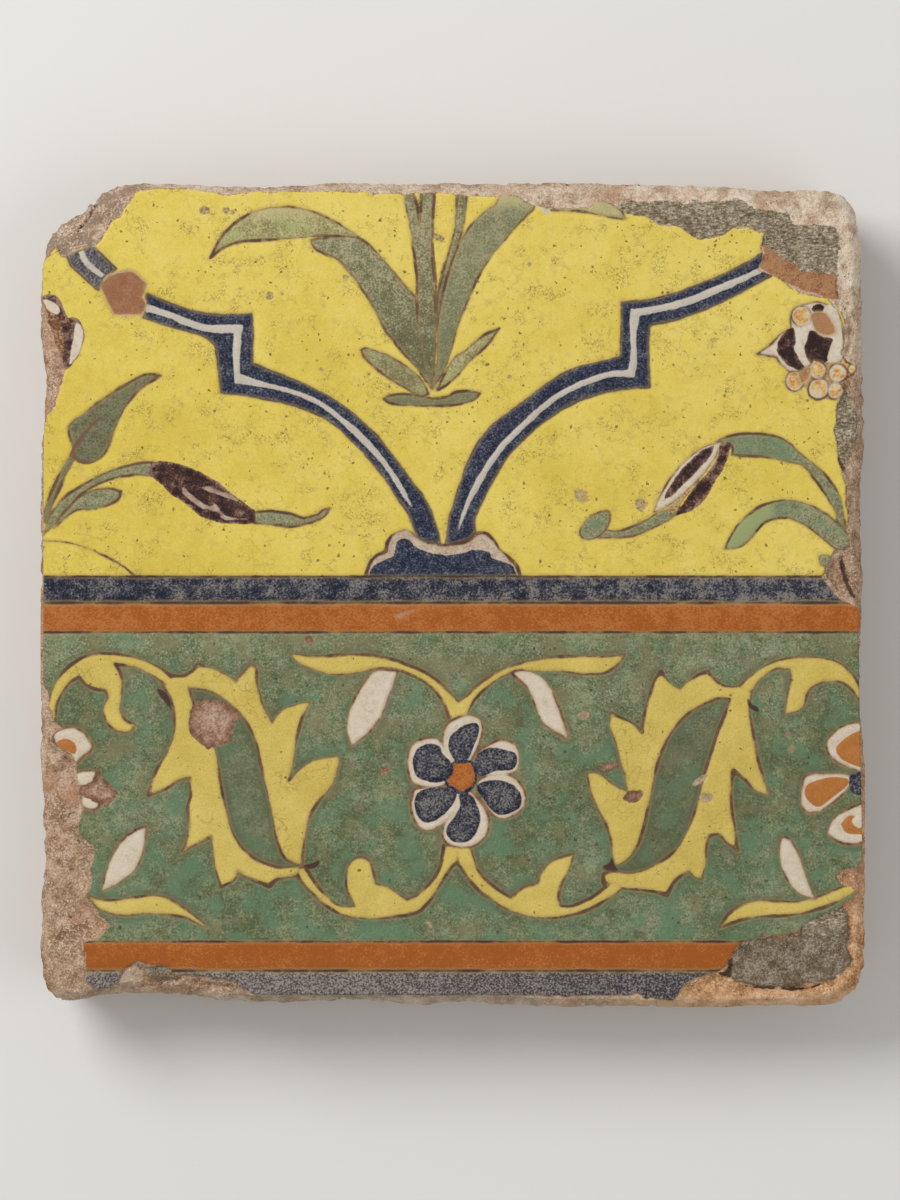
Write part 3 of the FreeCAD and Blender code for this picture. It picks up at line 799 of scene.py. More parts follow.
def clay_body(sizes):
    """The whole slab of clay as rings round the middle. A point is at the angle of its station. On the back
    the rings grow to the frame's outline, up the sides each ring lies at one level, at the reach of the
    frame's section there, and on the front the rings shrink to the middle at the level of clay_height."""
    walk = np.linspace(0, 8, STATIONS, endpoint=False)
    side, along = (walk // 2).astype(int), walk % 2 - 1
    angle = np.arctan2(along, np.ones(STATIONS)) + side * math.pi / 2
    travel = walk * HALF_SIDE
    levels = np.array([0.0, 0.5, 1.6, 3.5, 5.5, 7.5, 9.5, 11.5, 13.5, 15.0, 16.5, 18.0, 19.5, 21.0, 22.3,
                       23.2, WIDEST_LEVEL, 24.6, 25.3, RIM_LEVEL])
    reach = np.stack([reach_of(section(TILE_POINTS, TILE_TRIANGLES, max(z, 0.02)), angle) for z in levels])
    reach[0] -= 0.5
    across, up = np.meshgrid(travel, levels)
    wear = np.clip(roughness_of(across, up, 51) + 0.3 * grain(across, up * 0.4, 9.0, 55), -0.6, 2)
    share = np.interp(levels, [0, 2, 22, WIDEST_LEVEL, RIM_LEVEL], [0.2, 1, 1, 0.9, 0.35])
    reach -= wear * (sizes["side_relief"] * share)[:, None]
    reach -= 0.7 * (levels > 20)[:, None] * smooth_step(
        shape_field(reach * np.cos(angle), reach * np.sin(angle), CREVICE), -0.4, 0.4)
    back_share = np.array([0.3, 0.62, 0.85, 0.97])
    front_share = np.concatenate([[0.9985, 0.995, 0.990], np.linspace(0.984, 0.75, 66),
                                  [0.62, 0.45, 0.25, 0.1]])
    radius = np.concatenate([back_share[:, None] * reach[:1], reach, front_share[:, None] * reach[-1:]])
    low, high = TILE_POINTS.min(0) + 0.01, TILE_POINTS.max(0) - 0.01
    x = np.clip(radius * np.cos(angle), low[0], high[0])
    y = np.clip(radius * np.sin(angle), low[1], high[1])
    back, sides = len(back_share), len(levels)
    z = np.zeros_like(x)
    z[:back] = 0.22 * (1 + grain(x[:back], y[:back], 7.0, 61)) * (back_share[:, None] < 0.96)
    z[back:back + sides] = levels[:, None]
    front = slice(back + sides, None)
    fields = ground_fields(x, y)
    edge = glaze_edge(x, y)
    front_fields = {label: field[front] for label, field in fields.items()}
    z[front] = clay_height(x[front], y[front], edge[front], front_fields, sizes)
    below = np.arange(len(z))[:, None] < back + sides - 5
    values = {label: np.where(below, OUTSIDE, field) for label, field in fields.items()}
    values["edge"] = np.where(below, OUTSIDE, edge)
    points = np.stack([x, y, z], -1).reshape(-1, 3)
    poles = np.array([[0, 0, 0.2], [0, 0, FACE_LEVEL - sizes["glaze_skin"]]])
    station = np.arange(STATIONS)
    following = (station + 1) % STATIONS
    last = (len(z) - 1) * STATIONS
    back_fan = np.stack([np.full(STATIONS, len(points)), following, station], -1)
    front_fan = np.stack([np.full(STATIONS, len(points) + 1), last + station, last + following], -1)
    values = {label: np.append(field.ravel(), [OUTSIDE, OUTSIDE]) for label, field in values.items()}
    return mesh_object("clay_body", np.vstack([points, poles]), ring_faces(len(z), STATIONS, 0),
                       np.vstack([back_fan, front_fan]), values)


def grid_faces(number):
    """The faces of a grid, from the numbers of its points in rows."""
    corners = [number[:-1, :-1], number[:-1, 1:], number[1:, 1:], number[1:, :-1]]
    return np.stack(corners, -1).reshape(-1, 4)


def rim_run(angle):
    """Points at these angles round the middle, a little way in from the frame's rim, and out to it where
    glaze is kept there."""
    out = reach_of(RIM_BORDER, angle)
    kept = shape_field(out * np.cos(angle), out * np.sin(angle), KEPT_GLAZE)
    out += 0.9 * smooth_step(kept, 0, 1.5) - 0.5
    return np.stack([out * np.cos(angle), out * np.sin(angle)], -1)


def sheet_places(columns, rows, upper_end):
    """Plan of a glaze sheet, above the seam or below it, as a Coons patch: the blend between the seam and
    the rim of the end, plus that between the rims of the sides, less that between the four corners."""
    u, v = np.meshgrid(np.linspace(0, 1, columns), np.linspace(0, 1, rows))
    away = v if upper_end else 1 - v
    end = rim_run(np.arctan2(1.0 if upper_end else -1.0, np.linspace(-1, 1, columns)))
    up = np.linspace(-1, 1, 1500)
    left, right = rim_run(np.arctan2(up, -1.0)), rim_run(np.arctan2(up, 1.0))

    def side(run, corner):
        level = SEAM + (corner[1] - SEAM) * away[:, 0]
        return np.stack([np.interp(level, run[:, 1], run[:, 0]), level], -1)[:, None]

    left, right = side(left, end[0]), side(right, end[-1])
    u, away = u[..., None], away[..., None]
    near = 0 if upper_end else -1
    seam = left[near] + (right[near] - left[near]) * u[0]
    place = (1 - away) * seam + away * end + (1 - u) * left + u * right
    place -= (1 - away) * ((1 - u) * left[near] + u * right[near]) + away * ((1 - u) * end[0] + u * end[-1])
    return place[..., 0], place[..., 1], u[..., 0], v


def glaze_sheet(name, upper_end, columns, rows, fields_of, drawn, sizes):
    """A closed sheet of glaze. Its top is a grid at the face's level, less a slow swell, less a groove
    along each drawn line that falls off as exp(-(d / GROOVE_WIDTH)^2) with the distance d from it. Where
    the glaze is gone the top drops under the clay. A wall goes down from its rim to a fan that closes it."""
    x, y, u, v = sheet_places(columns, rows, upper_end)
    fields = fields_of(x, y)
    fields["edge"] = glaze_edge(x, y)
    line = np.min([np.abs(fields[label]) for label in drawn], axis=0)
    top = FACE_LEVEL - 0.02 - 0.05 * (1 + grain(x, y, 11.0, 71)) - 0.012 * (1 + grain(x, y, 0.9, 72))
    top -= sizes["line_groove"] * np.exp(-(line / GROOVE_WIDTH) ** 2)
    top -= SCAR_DEPTH * smooth_step(fields["scar"], -0.1, 0.35) * (0.8 + 0.2 * grain(x, y, 0.7, 73))
    lost = clay_height(x, y, fields["edge"], ground_fields(x, y), sizes) - 1.0
    lost = np.maximum(lost, SHEET_FLOOR + 0.2)
    z = lost + (top - lost) * smooth_step(fields["edge"], -0.1, 0.3)
    number = np.arange(rows * columns).reshape(rows, columns)
    quads = grid_faces(number)
    rim = np.concatenate([number[0, :-1], number[:-1, -1], number[-1, :0:-1], number[:0:-1, 0]])
    points = np.stack([x, y, z], -1).reshape(-1, 3)
    foot = points[rim] * [1, 1, 0] + [0, 0, SHEET_FLOOR]
    middle = foot.mean(0, keepdims=True)
    foot_number = len(points) + np.arange(len(rim))
    following = np.roll(foot_number, -1)
    wall = np.stack([foot_number, following, np.roll(rim, -1), rim], -1)
    fan = np.stack([np.full(len(rim), len(points) + len(rim)), following, foot_number], -1)
    turn = np.linspace(0.01, 0.99, len(rim) + 1)
    here, after = turn[:-1], turn[1:]
    plan = np.stack([0.005 + 0.965 * u, 0.005 + 0.99 * v], -1).reshape(-1, 2)
    strip = [np.stack([np.full(len(rim), across), up], -1) for across, up in
             [(0.976, here), (0.976, after), (0.983, after), (0.983, here)]]
    under = [np.stack([np.full(len(rim), across), up], -1) for across, up in
             [(0.997, (here + after) / 2), (0.988, after), (0.988, here)]]
    places = np.concatenate([plan[quads].reshape(-1, 2), np.stack(strip, 1).reshape(-1, 2),
                             np.stack(under, 1).reshape(-1, 2)])
    values = {label: np.concatenate([field.ravel(), field.ravel()[rim], [OUTSIDE]])
              for label, field in fields.items()}
    values["edge"][len(points):] = OUTSIDE
    points = np.vstack([points, foot, middle])
    return mesh_object(name, points, np.vstack([quads, wall]), fan, values, places)


def coarseness(fields, shares):
    """How coarse a glaze is, from 0 to 1: the largest of the shares of the layers that a point lies in."""
    layers = [share * smooth_step(fields[label], -0.1, 0.2) for label, share in shares.items()]
    return np.max(layers, axis=0)


def panel_fields(x, y):
    """Fields of the plant panel, one for each layer of its painting."""
    layers = {"corner": CORNER_LINE, "arch": ARCH, "arch_line": ARCH_LINE, "foot": FOOT,
              "foot_core": FOOT_CORE, "lily_behind": LILY_BEHIND, "lily_before": LILY_BEFORE,
              "pale_leaf": PALE_LEAVES, "side_leaf": SIDE_LEAVES, "side_stalk": SIDE_STALKS,
              "heart_leaf": HEART_LEAF, "rib": LEAF_RIBS, "petal": FLOWER_WHITE, "dark_petal": FLOWER_DARK,
              "streak": STREAKS, "bud_streak": BUD_STREAKS, "tan": TAN_PLACES, "fill": PANEL_FILL,
              "chip": PANEL_CHIP}
    fields = {label: shape_field(x, y, shapes) for label, shapes in layers.items()}
    fields["bead"] = bead_field(x, y, BEADS)
    fields["fleck"] = np.maximum(shape_field(x, y, FLECKS), bead_field(x, y, SPOTS))
    fields["scar"] = np.max([fields["fill"], fields["chip"], fields["fleck"] - 0.1], axis=0)
    fields["band"] = band_field(y, COBALT_BANDS)
    shares = {"arch": 0.7, "foot": 0.7, "lily_behind": 0.8, "lily_before": 0.8, "pale_leaf": 0.8,
              "side_leaf": 0.6, "side_stalk": 0.6, "heart_leaf": 0.6, "chip": 1.0, "fleck": 1.0,
              "fill": 0.6}
    fields["coarse"] = coarseness(fields, shares)
    return fields


def border_fields(x, y):
    """Fields of the scroll border, one for each layer of its painting."""
    layers = {"core": LEAF_CORES, "white": WHITE_SHAPES, "cobalt": COBALT_SHAPES, "orange": ORANGE_SHAPES,
              "ink": INK_DROPS, "scar": SCARS, "dull_scar": DULL_SCARS, "pale_scar": PALE_SCARS}
    fields = {label: shape_field(x, y, shapes) for label, shapes in layers.items()}
    fields["scar"] = np.maximum(fields["scar"], fields["pale_scar"] - 0.1)
    fields["leafage"] = np.maximum(shape_field(x, y, SCROLLS), shape_field(x, y, JAGGED_LEAVES))
    fields["knot"] = knots(x, y, JAGGED_LEAVES)
    fields["band"] = band_field(y, COBALT_BANDS)
    fields["orange_band"] = band_field(y, ORANGE_BANDS)
    fields["coarse"] = np.maximum(0.35, coarseness(fields, {"band": 1.0, "cobalt": 0.8, "scar": 1.0}))
    return fields


# Node groups and materials

GLAZE_SHINE = 0.1
CLAY_SHINE = 0.08
LINE_ROUGHNESS = 0.7


class Board:
    """Places nodes in a node tree. An input given as a socket is linked, any other is set as a value."""

    def __init__(self, tree):
        self.tree = tree

    def put(self, kind, inputs=None, **settings):
        node = self.tree.nodes.new(kind)
        for label, value in settings.items():
            setattr(node, label, value)
        for label, value in (inputs or {}).items():
            self.feed(node.inputs[label], value)
        return node

    def feed(self, socket, value):
        if isinstance(value, bpy.types.NodeSocket):
            self.tree.links.new(value, socket)
        elif isinstance(value, tuple) and len(value) == 3 and socket.type == "RGBA":
            socket.default_value = (*value, 1.0)
        else:
            socket.default_value = value

    def math(self, operation, *values):
        return self.put("ShaderNodeMath", dict(enumerate(values)), operation=operation).outputs[0]

    def times(self, a, b):
        return self.math("MULTIPLY", a, b)

    def plus(self, a, b):
        return self.math("ADD", a, b)

    def scaled(self, value, weight, base):
        return self.math("MULTIPLY_ADD", value, weight, base)

    def ramp(self, value, low, high, start=0.0, end=1.0, kind="SMOOTHSTEP"):
        node = self.put("ShaderNodeMapRange", {"Value": value, "From Min": low, "From Max": high,
                                               "To Min": start, "To Max": end}, interpolation_type=kind)
        return node.outputs[0]

    def mix(self, share, a, b):
        return self.put("ShaderNodeMix", {0: share, 6: a, 7: b}, data_type="RGBA").outputs[2]

    def between(self, share, a, b):
        return self.put("ShaderNodeMix", {0: share, 2: a, 3: b}, data_type="FLOAT").outputs[0]

    def millimetres(self):
        place = self.put("ShaderNodeTexCoord").outputs["Object"]
        return self.put("ShaderNodeVectorMath", {0: place, "Scale": 1 / MM}, operation="SCALE").outputs[0]

    def noise(self, place, size, detail=2.0, roughness=0.5):
        node = self.put("ShaderNodeTexNoise", {"Vector": place, "Scale": 1 / size, "Detail": detail,
                                               "Roughness": roughness})
        return node.outputs["Fac"]

    def bent(self, place, size, shift):
        """A place moved by up to half the shift, by noise of that size."""
        shake = self.put("ShaderNodeTexNoise", {"Vector": place, "Scale": 1 / size, "Detail": 1.0})
        move = self.put("ShaderNodeVectorMath", {0: shake.outputs["Color"], "Scale": shift},
                        operation="SCALE")
        return self.put("ShaderNodeVectorMath", {0: place, 1: move.outputs[0]}, operation="ADD").outputs[0]

    def value_of(self, label):
        return self.put("ShaderNodeAttribute", attribute_name=label).outputs["Fac"]

    def group(self, tree, **inputs):
        node = self.put("ShaderNodeGroup", node_tree=tree)
        for label, value in inputs.items():
            self.feed(node.inputs[label], value)
        return node.outputs

    def moved(self, base, *waves):
        """A share that starts at base, moved by each cloud's weight times its distance from a half."""
        share = base - 0.5 * sum(weight for cloud, weight in waves)
        for cloud, weight in waves:
            share = self.scaled(cloud, weight, share)
        return share

    def graded(self, share, dark, middle, light):
        """A colour that goes from dark through middle, at a share of one half, to light."""
        lower = self.mix(self.ramp(share, 0.0, 0.5, kind="LINEAR"), dark, middle)
        return self.mix(self.ramp(share, 0.5, 1.0, kind="LINEAR"), lower, light)

    def coats(self, colour, *layers):
        """A colour with others laid over it, each given as its share and its colour."""
        for share, over in layers:
            colour = self.mix(share, colour, over)
        return colour


def effect_group(name, inputs, outputs, build):
    """A shader node group with float sockets. build gets a board and the inputs, and gives the outputs."""
    tree = bpy.data.node_groups.get(name)
    if tree is not None:
        return tree
    tree = bpy.data.node_groups.new(name, "ShaderNodeTree")
    for label, value in inputs.items():
        socket = tree.interface.new_socket(label, in_out="INPUT", socket_type="NodeSocketFloat")
        socket.default_value = value
    for label in outputs:
        tree.interface.new_socket(label, in_out="OUTPUT", socket_type="NodeSocketFloat")
    board = Board(tree)
    given = board.put("NodeGroupInput").outputs
    results = build(board, given)
    exit_node = board.put("NodeGroupOutput")
    for label, result in zip(outputs, results):
        board.feed(exit_node.inputs[label], result)
    return tree


def surface_clouds():
    """Clouds at four sizes, from slow patches to fine grain, each from 0 to 1."""
    def build(board, given):
        place = board.millimetres()
        sizes = [(17.0, 2.0), (4.6, 3.0), (1.5, 2.0), (0.5, 2.0)]
        return [board.ramp(board.noise(place, size, detail, 0.6), 0.3, 0.7, kind="LINEAR")
                for size, detail in sizes]
    return effect_group("Surface Clouds", {}, ["Wide", "Middle", "Small", "Fine"], build)


def hand_waver():
    """How an unsteady hand moves an edge, swells a line and presses on it."""
    def build(board, given):
        place = board.millimetres()
        slow = board.math("SUBTRACT", board.noise(place, 2.6, 1.0), 0.5)
        fine = board.math("SUBTRACT", board.noise(place, 0.7, 1.0), 0.5)
        shift = board.scaled(slow, 2.0, fine)
        course = board.noise(place, 7.5, 1.0)
        swell = board.ramp(course, 0.3, 0.7, 0.35, 1.4)
        strength = board.scaled(board.noise(place, 2.4, 3.0, 0.65), 1.3, course)
        return shift, swell, board.ramp(strength, 0.8, 1.35, 0.2, 1.0)
    return effect_group("Hand Waver", {}, ["Shift", "Swell", "Strength"], build)


def painted_edge():
    """A hand-painted edge: the distance to an outline, moved by the hand's shift."""
    def build(board, given):
        distance = board.scaled(given["Shift"], given["Wander"], given["Distance"])
        return distance, board.ramp(distance, -0.17, 0.17)
    return effect_group("Painted Edge", {"Distance": 0.0, "Shift": 0.0, "Wander": 0.15},
                        ["Distance", "Inside"], build)


def drawn_line():
    """A line along an outline, and the wider stain it leaves on both sides."""
    def build(board, given):
        half = board.times(board.times(given["Width"], 0.5), given["Swell"])
        away = board.math("ABSOLUTE", given["Distance"])
        line = board.ramp(away, board.plus(half, 0.26), board.math("SUBTRACT", half, 0.14))
        stain = board.ramp(away, board.plus(half, 0.8), half)
        return board.times(line, given["Strength"]), board.times(stain, 0.35)
    return effect_group("Drawn Line", {"Distance": 0.0, "Width": 0.5, "Swell": 1.0, "Strength": 1.0},
                        ["Line", "Stain"], build)


def glaze_pits():
    """Crooked pinholes: cells of a pattern, some of which hold a hole of its own width, more in patches."""
    def build(board, given):
        place = board.millimetres()
        patch = board.ramp(board.noise(place, 9.0, 2.0), 0.42, 0.68, 0.15, 1.0)
        share = board.times(patch, given["Amount"])
        bent = board.bent(place, 0.55, 0.9)
        cell = board.put("ShaderNodeTexVoronoi", {"Vector": bent, "Scale": 1 / 1.25})
        chance = board.put("ShaderNodeSeparateColor", {0: cell.outputs["Color"]})
        holds = board.math("LESS_THAN", chance.outputs[0], share)
        width = board.scaled(board.math("POWER", chance.outputs[1], 4.0), 0.2, 0.06)
        pit = board.ramp(cell.outputs["Distance"], board.plus(width, 0.1), width)
        depth = board.scaled(chance.outputs[2], 0.6, 0.4)
        return (board.times(board.times(pit, holds), depth),)
    return effect_group("Glaze Pits", {"Amount": 0.2}, ["Pit"], build)


def scuffs():
    """Rubbed patches: crooked hair marks where a noise passes its middle, and grains where one is high."""
    def build(board, given):
        place = board.millimetres()
        course = board.noise(place, 5.0, 3.0, 0.6)
        rubbed = board.times(board.ramp(course, 0.5, 0.66), given["Amount"])
        grained = board.times(board.ramp(course, 0.4, 0.64, 0.1, 1.0), given["Amount"])
        wave = board.math("ABSOLUTE", board.math("SUBTRACT", board.noise(place, 1.1, 2.0, 0.7), 0.5))
        marks = board.ramp(wave, 0.05, 0.01)
        grains = board.ramp(board.noise(place, 0.5, 1.0, 0.7), 0.55, 0.68)
        return board.times(marks, rubbed), board.times(grains, grained)
    return effect_group("Scuffs", {"Amount": 0.5}, ["Marks", "Grains"], build)


def crazing():
    """Hair cracks of a fired glaze: borders of a cell pattern, fading in and out over the surface."""
    def build(board, given):
        place = board.millimetres()
        cell = board.put("ShaderNodeTexVoronoi", {"Vector": board.bent(place, 2.5, 4.0), "Scale": 1 / 5.0},
                         feature="DISTANCE_TO_EDGE")
        crack = board.ramp(cell.outputs["Distance"], 0.03, 0.006)
        shown = board.ramp(board.noise(place, 12.0, 1.0), 0.48, 0.62)
        return (board.times(board.times(crack, shown), given["Amount"]),)
    return effect_group("Crazing", {"Amount": 0.6}, ["Crack"], build)


class Painting:
    """Lays colours over a ground, one layer over the other, and keeps the roughness in step with them."""

    def __init__(self, board, colour, roughness, stain):
        self.board = board
        self.colour = colour
        self.roughness = roughness
        self.stain = stain
        self.hand = board.group(hand_waver())

    def cover(self, mask, colour, roughness):
        self.colour = self.board.mix(mask, self.colour, colour)
        self.roughness = self.board.between(mask, self.roughness, roughness)

    def edge(self, label, wander, inset=0.0):
        """The edge of a field, drawn in by inset."""
        distance = self.board.value_of(label)
        if inset:
            distance = self.board.math("SUBTRACT", distance, inset)
        return self.board.group(painted_edge(), Distance=distance, Shift=self.hand["Shift"], Wander=wander)

    def stroke(self, edge, width, colour):
        """A line drawn along an edge, over the stain at its sides."""
        line = self.board.group(drawn_line(), Distance=edge["Distance"], Width=width,
                                Swell=self.hand["Swell"], Strength=self.hand["Strength"])
        self.colour = self.board.mix(line["Stain"], self.colour, self.stain)
        self.cover(line["Line"], colour, LINE_ROUGHNESS)

    def lay(self, label, colour, roughness, wander=0.14, line=0.0, line_colour=None, inset=0.0):
        """Covers the inside of a field, from inset on, and draws a line along its edge."""
        edge = self.edge(label, wander, inset)
        self.cover(edge["Inside"], colour, roughness)
        if line:
            self.stroke(edge, line, line_colour)


def finished(name, specular, build):
    """A material with its shader. build gives its colour, its roughness and its height in millimetres."""
    material = bpy.data.materials.new(name)
    material.use_nodes = True
    tree = material.node_tree
    tree.nodes.clear()
    board = Board(tree)
    colour, roughness, height = build(board)
    relief = board.put("ShaderNodeBump", {"Strength": 1.0, "Distance": MM, "Height": height})
    finish = {"Base Color": colour, "Roughness": roughness, "Specular IOR Level": specular,
              "Normal": relief.outputs[0]}
    shader = board.put("ShaderNodeBsdfPrincipled", finish)
    board.put("ShaderNodeOutputMaterial", {"Surface": shader.outputs[0]})
    return material


def glaze_relief(board, small, fine, pit):
    """Height of a glaze in millimetres: small and fine clouds, more where it is coarse, less the pits."""
    grains = board.moved(0.0, (small, 0.06), (fine, 0.09))
    coarse = board.scaled(board.value_of("coarse"), 0.8, 0.2)
    return board.scaled(pit, -0.12, board.times(grains, coarse))


def bare_edge(board, painting, small, fine, tone):
    """Covers the broken edge of a glaze sheet, and what is past it, with bare clay."""
    edge = board.scaled(board.math("SUBTRACT", fine, 0.5), 0.3, board.value_of("edge"))
    share = board.moved(0.5, (small, 0.6), (fine, 0.9))
    clay = board.graded(share, tone.clay_dark, tone.clay, tone.clay_pale)
    painting.cover(board.ramp(edge, 0.5, 0.2), clay, 0.9)


def panel_glaze_material(tone):
    """The plant panel: yellow ground, cobalt arch with a white line, green leaves, plum petals."""
    def build(board):
        wide, middle, small, fine = board.group(surface_clouds())
        pits = board.group(glaze_pits(), Amount=0.6)["Pit"]
        crack = board.group(crazing(), Amount=0.3)["Crack"]
        scuff = board.group(scuffs(), Amount=0.8)
        across, up = board.put("ShaderNodeSeparateXYZ", {0: board.millimetres()}).outputs[:2]
        grainy = board.moved(0.5, (middle, 0.55), (small, 0.55), (fine, 1.1))
        aged = board.plus(board.ramp(across, -40.0, -95.0, 0.0, -0.3),
                          board.ramp(up, 55.0, 90.0, 0.0, 0.25))
        yellow = board.plus(aged, board.moved(0.5, (wide, 0.6), (middle, 0.45), (small, 0.25), (fine, 0.6)))
        yellow = board.graded(yellow, tone.yellow_deep, tone.yellow, tone.yellow_chalk)
        yellow = board.coats(yellow, (board.ramp(middle, 0.7, 1.0, 0.0, 0.5), tone.stain),
                             (board.times(scuff["Grains"], 0.25), tone.scuff),
                             (board.math("MAXIMUM", scuff["Marks"], crack), tone.crack), (pits, tone.pit))
        worn_end = board.ramp(across, -68.0, -84.0, 0.0, 0.2)
        thin = board.plus(worn_end, board.moved(0.32, (middle, 0.3), (small, 0.45), (fine, 1.0)))
        cobalt = board.graded(thin, tone.arch_cobalt, tone.arch_thin, tone.arch_worn)
        ashen = board.graded(thin, tone.ash_dark, tone.ash, tone.ash_pale)
        cobalt = board.mix(board.ramp(across, -78.0, -86.0, 0.0, 0.55), cobalt, ashen)
        white = board.graded(board.moved(0.55, (middle, 0.5), (small, 0.5), (fine, 0.5)), tone.white_dirty,
                             tone.white, tone.white_clean)
        stained = board.graded(board.moved(0.48, (middle, 0.6), (small, 0.5), (fine, 0.6)),
                               tone.white_stained, tone.foot_white, tone.white)
        dull = board.graded(board.moved(0.5, (wide, 0.6), (middle, 0.5), (fine, 0.6)), tone.white_dirty,
                            tone.white_grey, tone.white)
        browned = board.plus(grainy, board.ramp(up, 52.0, 84.0, -0.35, 0.15))
        lily = board.graded(browned, tone.lily_brown, tone.lily, tone.leaf_worn)
        faded = board.ramp(up, 92.5, 96.0, 0.0, 0.75)
        lily_right = board.mix(faded, board.mix(0.4, lily, tone.side_leaf), tone.pale_leaf_faded)
        pale = board.graded(grainy, tone.pale_leaf_dark, tone.pale_leaf, tone.pale_leaf_worn)
        pale = board.mix(board.ramp(middle, 0.55, 0.9, 0.0, 0.6), pale, tone.pale_leaf_green)
        pale = board.mix(board.ramp(up, 90.0, 93.0, 0.0, 0.7), pale, tone.pale_leaf_faded)
        left_blade = board.times(board.ramp(across, -6.0, -9.0, 0.0, 0.5), board.ramp(up, 72.0, 66.0))
        pale = board.mix(left_blade, pale, lily)
        fresh = board.graded(grainy, tone.side_leaf_dark, tone.side_leaf, tone.leaf_worn)
        fresh = board.mix(board.ramp(middle, 0.5, 0.85, 0.0, 0.7), fresh, tone.side_leaf_fresh)
        right_leaves = board.times(board.ramp(across, 60.0, 66.0, 0.0, 0.5), board.ramp(across, 85.0, 80.0))
        fresh = board.mix(right_leaves, fresh, tone.side_leaf_fresh)
        low_tip = board.times(board.ramp(across, 79.0, 76.0, 0.0, 0.8), board.ramp(up, 25.0, 22.0))
        low_tip = board.times(board.ramp(across, 60.0, 64.0), low_tip)
        fresh = board.mix(low_tip, fresh, tone.side_leaf_light)
        heart = board.graded(grainy, tone.heart_leaf_dark, tone.heart_leaf, tone.lily)
        rubbed = board.ramp(board.value_of("dark_petal"), 0.9, 0.1, -0.05, 0.35)
        rubbed = board.plus(rubbed, board.moved(0.28, (middle, 0.9), (small, 0.7), (fine, 0.7)))
        ends = board.plus(board.ramp(across, -82.0, -90.0, 0.0, 0.4),
                          board.ramp(across, 74.0, 80.0, 0.0, -0.22))
        rubbed = board.plus(rubbed, ends)
        plum = board.graded(rubbed, tone.plum, tone.plum_thin, tone.plum_worn)
        tan = board.graded(grainy, tone.tan_dark, tone.tan, tone.scuff)
        grey = board.graded(grainy, tone.fleck_dark, tone.fleck, tone.scuff)
        fill = board.graded(board.moved(0.5, (middle, 0.5), (small, 0.4), (fine, 0.6)), tone.fill_dark,
                            board.mix(board.ramp(across, 20.0, 60.0, 0.0, 0.7), tone.fill, tone.fill_sandy),
                            tone.fill_light)
        chip = board.graded(grainy, tone.chip_dark, tone.chip, tone.clay)
        ring = board.graded(board.moved(0.5, (middle, 0.9), (small, 1.0), (fine, 0.5)), tone.ochre,
                            tone.bead, tone.white)
        leaf_line = board.mix(wide, tone.leaf_line, tone.line)
        painting = Painting(board, yellow, 0.45, tone.line_stain)
        painting.stroke(painting.edge("corner", 0.12), 0.42, leaf_line)
        painting.lay("fleck", grey, 0.85, 0.9)
        painting.lay("arch", cobalt, 0.6, 0.2, 0.25, tone.arch_line)
        painting.lay("arch_line", dull, 0.55, 0.25, inset=0.22)
        painting.lay("foot", stained, 0.55, 0.2, 0.6, tone.foot_line)
        painting.lay("foot_core", cobalt, 0.6, 0.35)
        painting.lay("lily_behind", lily_right, 0.5, 0.2, 0.5, leaf_line)
        painting.lay("pale_leaf", pale, 0.5, 0.2, 0.5, leaf_line)
        painting.lay("lily_before", lily, 0.5, 0.2, 0.5, leaf_line)
        painting.lay("heart_leaf", heart, 0.5, 0.18, 0.5, leaf_line)
        painting.lay("rib", tone.leaf_line, 0.6, 0.3)
        painting.lay("side_stalk", fresh, 0.5, 0.18, 0.45, leaf_line)
        painting.lay("side_leaf", fresh, 0.5, 0.18, 0.45, leaf_line)
        painting.lay("petal", white, 0.55, 0.16, 0.35, leaf_line)
        painting.lay("tan", tan, 0.6, 0.4)
        painting.lay("dark_petal", plum, 0.45, 0.3)
        painting.lay("streak", white, 0.55, 0.2)
        painting.lay("bud_streak", board.mix(small, tone.white_dirty, tone.plum_worn), 0.55, 0.4)
        painting.lay("bead", white, 0.55, 0.3, 0.35, leaf_line)
        painting.lay("bead", ring, 0.55, 1.1, inset=0.6)
        painting.lay("fill", fill, 0.85, 0.2, 0.3, tone.fill_edge)
        painting.lay("chip", chip, 0.9, 0.5)
        painting.stroke(painting.edge("band", 0.14), 0.35, tone.arch_line)
        bare_edge(board, painting, small, fine, tone)
        return painting.colour, painting.roughness, glaze_relief(board, small, fine, pits)
    return finished("Panel glaze", GLAZE_SHINE, build)


